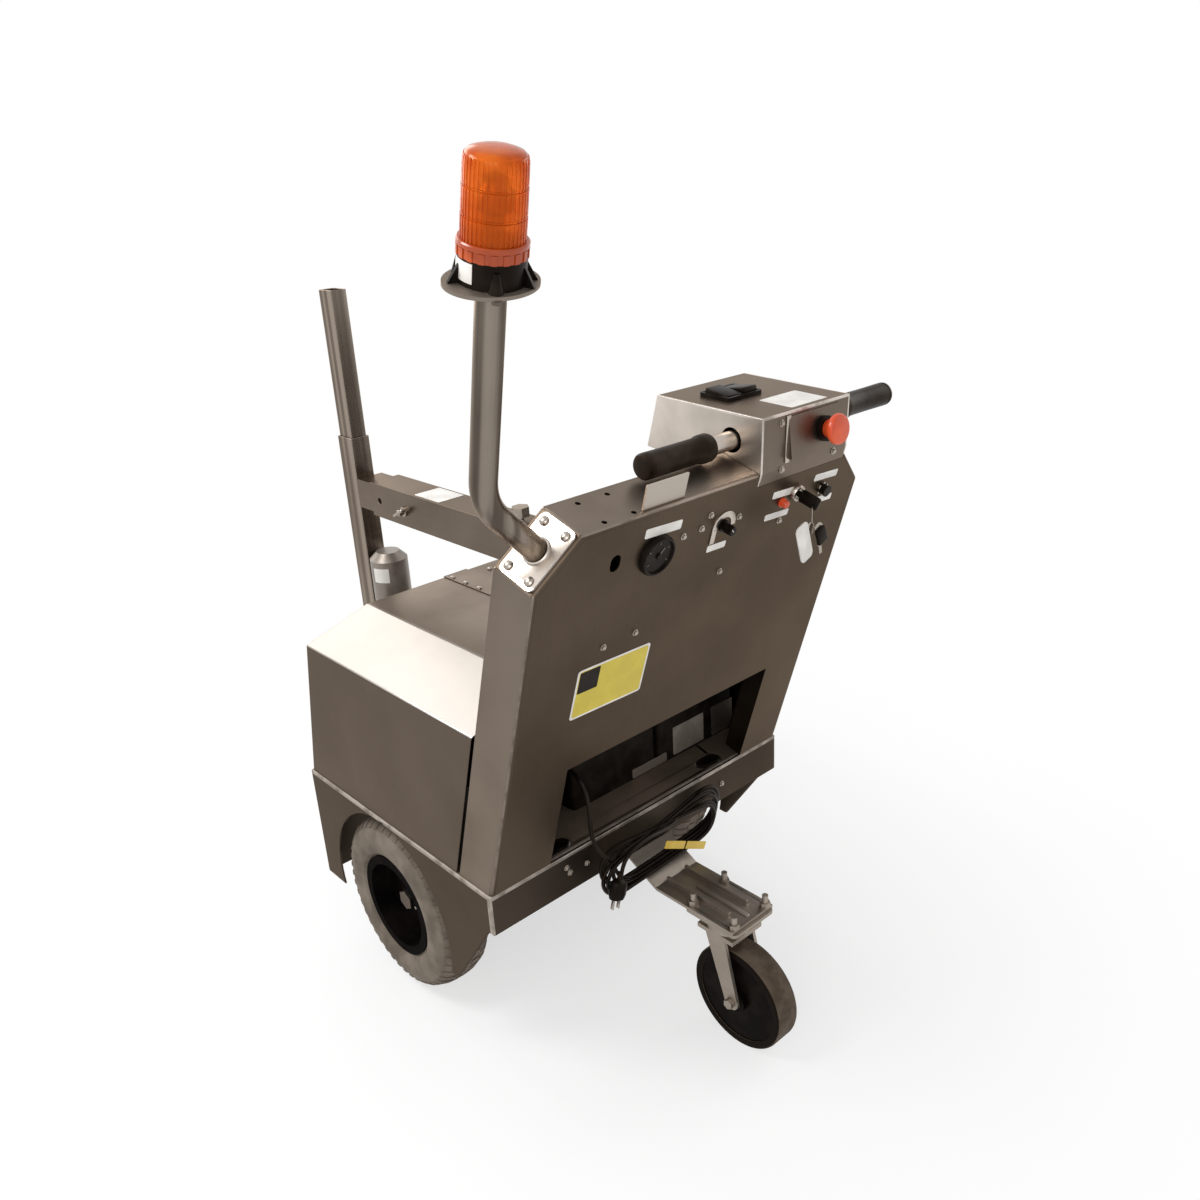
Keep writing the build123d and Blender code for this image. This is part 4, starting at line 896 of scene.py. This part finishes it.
gauge = {
    "spot": (-122, 561),
    "bezel": [(31, 0), (31, 5), (29.6, 8.4), (27.6, 9), (26.2, 8.2), (25.4, 5.4), (0.5, 5.2)],
    "cap": [(4.4, 0), (4.4, 2), (3.4, 2.8), (0.5, 2.8)],
    "capOut": 5.4,
    "tick": (0.9, 3.4, 0.5),
    "tickTurns": (-120, -60, 0, 60, 120),
    "tickCircle": 20,
    "tickOut": 5.6,
    "needle": (1.3, 17, 0.5),
    "needleTurn": -38,
    "needleAhead": 6,
    "needleOut": 6.4,
}
bezel = settle(turned(gauge["bezel"], sides=56), onFace(*gauge["spot"]))
hang(bezel, "gaugeBezel", "black", stands=["voltmeter"])
tickFoot = onFace(*gauge["spot"], gauge["tickOut"])
ticks = repeat(
    block(gauge["tick"], soft=0.1, segments=1),
    [tickFoot @ spin(turn) @ shift(y=gauge["tickCircle"]) for turn in gauge["tickTurns"]],
)
needlePlace = onFace(*gauge["spot"], gauge["needleOut"], gauge["needleTurn"]) @ shift(y=gauge["needleAhead"])
needle = settle(block(gauge["needle"], soft=0.1, segments=1), needlePlace)
hang(fuse([ticks, needle]), "gaugeMarks", "dimLabel")
gaugeCap = settle(turned(gauge["cap"], sides=20), onFace(*gauge["spot"], gauge["capOut"]))
hang(gaugeCap, "gaugeCap", "black")

dial = {
    "spot": (13, 567),
    "arc": [(14.5, 0), (24, 0), (24, 1.6), (23.4, 2), (15.1, 2), (14.5, 1.6)],
    "arcFrom": -2,
    "leg": (9.5, 24, 2),
    "legSpot": (-19.2, -13, 1),
    "knob": [(9.4, 0), (9.4, 2.6), (6.4, 3.4), (6.4, 6), (7.4, 7), (6.8, 19), (6, 20), (0.5, 20.2)],
    "columns": 24,
    "flute": 0.6,
    "flutesFrom": 8,
    "pointer": (1.1, 6, 0.8),
    "pointerSpot": (0, 3, 20.3),
    "pointerTurn": 40,
}


def isFlute(spot, normal):
    onWall = isUpright(normal) and spot.z > dial["flutesFrom"]
    return onWall and column(spot, dial["columns"]) % 2 == 0


dialArc = trim(turned(dial["arc"], sides=64, closed=True), (0, dial["arcFrom"], 0), (0, -1, 0))
dialLeg = settle(block(dial["leg"], soft=0.5), shift(*dial["legSpot"]))
dialPlate = settle(fuse([dialArc, dialLeg]), onFace(*dial["spot"]))
hang(dialPlate, "dialPlate", "bright", stands=["speed_dial"])
knob = raiseFaces(turned(dial["knob"], dial["columns"]), isFlute, dial["flute"])
hang(settle(knob, onFace(*dial["spot"])), "dialKnob", "black")
pointer = settle(block(dial["pointer"], soft=0.2, segments=1), shift(*dial["pointerSpot"]))
hang(settle(pointer, onFace(*dial["spot"], 0, dial["pointerTurn"])), "dialPointer", "white")

key = {
    "spot": (172, 580),
    "lock": [(14, 0), (14, 5), (12.4, 8), (9, 8.4), (9, 6), (0.5, 6)],
    "head": (20, 9, 34),
    "headOut": 28,
    "headTurn": 70,
    "neck": (9, 5, 16),
    "neckDrop": -20,
    "ring": (13, 0.9),
    "ringPlace": ((0.8, 0.6, 0), toSky, (0.6, -0.8, 0), (165, -530, 882)),  # across, up, out, spot
    "blade": (7, 2, 34),
    "bladeDrop": -34,
    "bit": (5, 2, 14),
    "bitSpot": (-3, 0, -30),
    "bow": [(10.5, -1.1), (10.5, 1.1), (9.6, 1.5), (0.5, 1.5)],
    "bowDrop": -10,
    "hung": [((178, -531, 866), -9), ((170, -524, 868), 14)],  # spot and tilt of each key on the ring
    "spareHead": (22, 6, 26),
    "spareSpot": (182, -535, 846),
    "spareTilt": -20,
    "tag": (32, 60, 1.8, 8),
    "tagPlace": ((0.96, 0.1, 0.26), (-0.26, 0, 0.965), (0.1, -0.99, 0.03), (141, -534, 846)),
}
lock = settle(turned(key["lock"], sides=28), onFace(*key["spot"]))
hang(lock, "keyLock", "bolt", stands=["key_switch"])
keyNeck = settle(block(key["neck"], soft=1), shift(z=key["neckDrop"]))
keyHead = fuse([block(key["head"], soft=3.4, segments=3), keyNeck])
keyHead = settle(keyHead, onFace(*key["spot"], key["headOut"], key["headTurn"]))
hang(keyHead, "keyHead", "black")
keyRing = settle(ring(*key["ring"], sides=36, around=6), axes(*key["ringPlace"]))
keyBlade = fuse([
    settle(block(key["blade"], soft=0.4), shift(z=key["bladeDrop"])),
    settle(block(key["bit"], soft=0.4), shift(*key["bitSpot"])),
    settle(turned(key["bow"], sides=20), shift(z=key["bowDrop"]) @ spin(90, "X")),
])
keyBlades = repeat(keyBlade, [shift(*spot) @ spin(tilt, "Y") for spot, tilt in key["hung"]])
hang(fuse([keyRing, keyBlades]), "keyRing", "bolt")
spareHead = block(key["spareHead"], soft=2.4, segments=3)
spareHead = settle(spareHead, shift(*key["spareSpot"]) @ spin(key["spareTilt"], "Y"))
hang(spareHead, "spareKeyHead", "black")
hang(settle(roundedPlate(*key["tag"]), axes(*key["tagPlace"])), "keyTag", "white")

breaker = {"spot": (143, 570), "rows": [(8, 0), (8, 2.4), (6.2, 3), (6.2, 10), (5.4, 11.2), (0.5, 11.6)]}
redButton = settle(turned(breaker["rows"], sides=24), onFace(*breaker["spot"]))
hang(redButton, "breakerButton", "red", stands=["breaker_button"])
reset = {
    "spot": (241, 568),
    "knob": [(11, 0), (11, 3), (8, 3.6), (8, 9), (9.4, 10), (9.2, 12), (0.5, 12.2)],
    "nut": [(12.4, 0), (12.4, 2.4), (11.4, 3.2), (9, 3.2)],
}
resetKnob = settle(turned(reset["knob"], sides=24), onFace(*reset["spot"]))
hang(resetKnob, "resetKnob", "black", stands=["reset_knob"])
hang(settle(turned(reset["nut"], sides=6), onFace(*reset["spot"])), "resetNut", "bolt")

stop = {
    "out": 8,
    "rows": [
        (13, 0), (15, 6), (19.6, 11.4), (22.6, 15.4), (23, 17.6), (22.8, 20.6),
        (21.4, 23), (18, 23.8), (0.5, 24),
    ],
}
mushroom = settle(turned(stop["rows"], sides=44), onEstop(stop["out"]))
hang(mushroom, "stopButton", "red", stands=["estop_button"])
rocker = {
    "spot": (150, 128),
    "frame": (78, 60, 6, 5, (4, 2.5)),
    "paddle": (32, 46, 10),
    "paddleOut": 5,
    "paddles": [(-17.5, 7), (17.5, -9)],  # across and tilt
}
paddles = [
    settle(block(rocker["paddle"], soft=2.0, segments=3), shift(x, 0, rocker["paddleOut"]) @ spin(tilt, "X"))
    for x, tilt in rocker["paddles"]
]
rockerSwitch = settle(fuse([roundedPlate(*rocker["frame"]), *paddles]), onRoof(*rocker["spot"]))
hang(rockerSwitch, "rockerSwitch", "black", stands=["rocker_switch"])
print("controls made")


labels = {
    "thick": 0.5,
    "corner": 2.5,
    "places": [  # place on its surface, width, height
        (onFace(-116, 599.5, 0, -3), 70, 15),
        (onFace(8, 533, 0, -2), 40, 11),
        (onFace(146, 586, 0, -3), 60, 12),
        (onFace(138, 549, 0, -3), 56, 11),
        (onFace(242, 591, 0, -3), 58, 12),
        (onFace(254, 547, 0, -3), 40, 11),
        (onRoof(192, 42), 84, 62),
        (onTop(-85, 88, 860), 54, 76),
    ],
}
blank = fuse([
    settle(roundedPlate(width, height, labels["thick"], labels["corner"]), place)
    for place, width, height in labels["places"]
])
hang(blank, "blankLabels", "white")
sticker = {
    "spot": (-163, 355),
    "turn": -1.6,
    "thick": 0.4,
    "layers": [  # name, finish, width, height, corner, out, and how far across and up from the middle
        ("stickerBorder", "white", 141, 90, 5, 0, 0, 0),
        ("stickerField", "yellow", 134, 83, 3.5, 0.3, 0, 0),
        ("stickerBlock", "black", 38, 38, 2, 0.6, -47, 21.5),
    ],
}
for layerName, finishName, width, height, corner, out, across, up in sticker["layers"]:
    place = onFace(*sticker["spot"], out, sticker["turn"]) @ shift(across, up)
    hang(settle(roundedPlate(width, height, sticker["thick"], corner), place), layerName, finishName)
print("blank labels laid")


edgeStrip = {"size": (9, 70, 2.4), "place": (128, 41, 1.2)}
strip = settle(block(edgeStrip["size"], soft=1.0), onHead(*edgeStrip["place"]))
hang(strip, "bracketEdgeStrip", "bright")
screws = {
    "size": 0.62,
    "face": [(-71, 574), (31, 482), (-35, 576), (-21, 594), (45, 573), (-131, 431), (-192, 429), (149, 536)],
    "skirt": [(-181, 319), (-144, 318), (157, 321), (187, 318.5), (-187, 331)],
    "head": [(114, 67), (118, -2), (241, -1)],
    "headOut": 0.2,
}
screwPlaces = [onFace(*spot) for spot in screws["face"]]
screwPlaces += [onRear(*spot) for spot in screws["skirt"]]
screwPlaces += [onHead(*spot, screws["headOut"]) for spot in screws["head"]]
hang(repeat(bolt(screws["size"]), screwPlaces), "consoleBolts", "bolt")
seam = {"size": 0.8, "lap": 2, "left": -38, "leftRow": (20, 62, 104, 146), "right": (39, 133)}
seamPlaces = [onTop(seam["left"], y, hoodTop + seam["lap"]) for y in seam["leftRow"]]
seamPlaces += [onTop(*seam["right"], hoodTop)]
hang(repeat(dome(seam["size"]), seamPlaces), "seamBolts", "bolt")

wing = {
    "spot": (-117, 156, 825),
    "screw": [(9, 0), (9, 4), (6, 5), (6, 14), (5, 15), (0.5, 15)],
    "blade": (34, 6, 9),
    "bladeOut": 13,
    "bladeTurn": 0.5,  # radians
}
wingTurn = shift(z=wing["bladeOut"]) @ Matrix.Rotation(wing["bladeTurn"], 4, "Z")
wingScrew = fuse([
    settle(turned(wing["screw"], sides=20), onLeft(*wing["spot"])),
    settle(block(wing["blade"], soft=2.6, segments=3), onLeft(*wing["spot"]) @ wingTurn),
])
hang(wingScrew, "armWingScrew", "bolt")
actuator = {"label": (36.5, 28), "labelSpot": (-92, 279.5, 662), "labelTurn": -61}
labelPlace = shift(*actuator["labelSpot"]) @ spin(actuator["labelTurn"])
hang(settle(wrapLabel(*actuator["label"]), labelPlace), "actuatorLabel", "white")
weldBead = {"size": (7, 112, 4), "spot": (0, -488, 251)}
bracketBead = settle(block(weldBead["size"], soft=1.8, segments=3), onTop(*weldBead["spot"]))
hang(bracketBead, "bracketBead", "zinc")
print("bolts set")


battery = {
    "out": -85,  # the batteries' rear face, from the rear skirt
    "label": (82, 57, 0.5, 2),
    "labelSpot": (191, 389),
    "strip": (87, 18, 1.2, 2),
    "stripSpot": (88, 367),
    "end": (58, 60, 1.2, 2),
    "endSpot": (283, 389),
}
batteryLabel, batteryStrip, batteryEnd = [
    settle(roundedPlate(*battery[plate]), onRear(*battery[plate + "Spot"], battery["out"]))
    for plate in ("label", "strip", "end")
]
hang(batteryLabel, "batteryLabel", "dimLabel")
hang(fuse([batteryStrip, batteryEnd]), "batteryStrips", "zinc")
print("battery space dressed")

# Each cable hole holds a black sleeve with a floor 2 mm thick; its black floor is painted shade, standing in
# for the shadow under the base seen through the hole
shadeGrommet = {"size": (50, 26), "corner": 12.5, "wall": 3, "deep": 30, "hollow": 28, "spot": (183, -290, 328)}
for side, sideName in ((-1, "Left"), (1, "Right")):
    recess = (shadeGrommet["wall"], shadeGrommet["hollow"])
    sleeve = roundedPlate(*shadeGrommet["size"], shadeGrommet["deep"], shadeGrommet["corner"], recess)
    x, y, z = shadeGrommet["spot"]
    hang(settle(sleeve, onTop(side * x, y, z)), "cableGrommetShade" + sideName, "black")
print("grommets set")


lead = {
    "route": [
        (-137, -237, 482), (-137, -287, 482), (-137, -319, 458), (-137, -327, 422), (-137, -327, 370),
        (-132, -335, 343), (-122, -355, 326),
    ],
    "radius": 3.5,
    "turns": [  # left end, right end, middle height, half height, depth, dip
        (-74, 102, 313, 37, -352, 4), (-118, 92, 307, 32, -362, 9), (-96, 110, 315, 38, -347, 12),
        (-114, 84, 306, 31, -368, 2), (-102, 108, 314, 36, -344, 6), (-90, 98, 314, 34, -358, 12),
    ],
    "bends": (90, 45, 0, -45, -90),
    "shares": [step / 6 for step in range(1, 6)],
    "reach": 140,  # half width of the hank
    "slant": 8,  # its right end is higher by this, its left end lower
    "tail": [
        (12, -366, 337), (-20, -374, 345), (-52, -381, 354), (-82, -386, 358), (-110, -387, 352),
        (-127, -387, 334), (-131, -387, 312),
    ],
    "length": 3.9,
}


def hankSpot(x, height, depth, dip):  # the loops hang lower in their middle and to the left
    sway = x / lead["reach"]
    return Vector((x, depth, height + lead["slant"] * sway - dip * (1 - sway * sway)))


leadPoints = [Vector(point) for point in lead["route"]]
for number, (left, right, middle, tall, depth, dip) in enumerate(lead["turns"]):
    last = number == len(lead["turns"]) - 1
    for bend in lead["bends"][0 if number else 3:]:  # down the left end
        swing = radians(bend)
        leadPoints.append(hankSpot(left - tall * cos(swing), middle + tall * sin(swing), depth, dip))
    for share in lead["shares"]:  # along below
        leadPoints.append(hankSpot(left + (right - left) * share, middle - tall, depth, dip))
    for bend in reversed(lead["bends"]):  # up the right end
        swing = radians(bend)
        leadPoints.append(hankSpot(right + tall * cos(swing), middle + tall * sin(swing), depth, dip))
    goal = lead["turns"][number if last else number + 1]
    here = Vector((right, middle + tall, depth, dip))
    there = Vector((goal[0], goal[2] + goal[3], goal[4], goal[5]))
    for share in lead["shares"][:2 if last else 5]:  # back along the top to the next turn
        leadPoints.append(hankSpot(*here.lerp(there, share)))
leadPoints += [Vector(point) for point in lead["tail"]]
leadCurve = bpy.data.curves.new("mainsLead", "CURVE")
leadCurve.dimensions = "3D"
leadSpline = leadCurve.splines.new("NURBS")
leadSpline.points.add(len(leadPoints) - 1)
for slotPoint, point in zip(leadSpline.points, leadPoints):
    slotPoint.co = (*(point * mm), 1)
leadSpline.order_u = 3
leadSpline.use_endpoint_u = True
leadSpline.resolution_u = 6
leadCurve.bevel_depth = lead["radius"] * mm
leadCurve.bevel_resolution = 3
leadCurve.use_fill_caps = True

plug = {
    "spot": (-131, -387, 323),
    "tilt": 16,
    "rows": [(5, 4), (5.4, -8), (13, -12), (16, -20), (16.4, -34), (14, -42), (0.5, -42)],
    "flat": 0.76,  # depth against width
    "blade": (1.6, 6.5, 20),
    "bladeSpots": [(-6.5, 0, -51), (6.5, 0, -51)],
}
plugPlace = shift(*plug["spot"]) @ spin(plug["tilt"], "Y")
plugBody = settle(turned(plug["rows"], sides=20), Matrix.Diagonal((1, plug["flat"], 1, 1)))
plugBody = hang(settle(plugBody, plugPlace), "plugBody", "black", stands=["mains_plug"])
blades = repeat(block(plug["blade"], soft=0.4), [plugPlace @ shift(*spot) for spot in plug["bladeSpots"]])
plugBlades = hang(blades, "plugBlades", "bolt")
mainsLead = bpy.data.objects.new("mainsLead", leadCurve)
bpy.context.scene.collection.objects.link(mainsLead)
leadCurve.materials.append(finishes["cord"])
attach(mainsLead, "chassis")
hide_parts("cord_lead", "cord_hank")
tapeFlag = {
    "size": (52, 14, 0.7, 1.5),
    "slant": ((0.888, 0, -0.459), (0.459, 0, 0.888), toRear),
    "spots": [(4, -378, 306), (54, -378, 280)],
}
flags = fuse([
    settle(roundedPlate(*tapeFlag["size"]), axes(*tapeFlag["slant"], spot)) for spot in tapeFlag["spots"]
])
hang(flags, "tapeFlags", "tape")
print("mains lead laid")
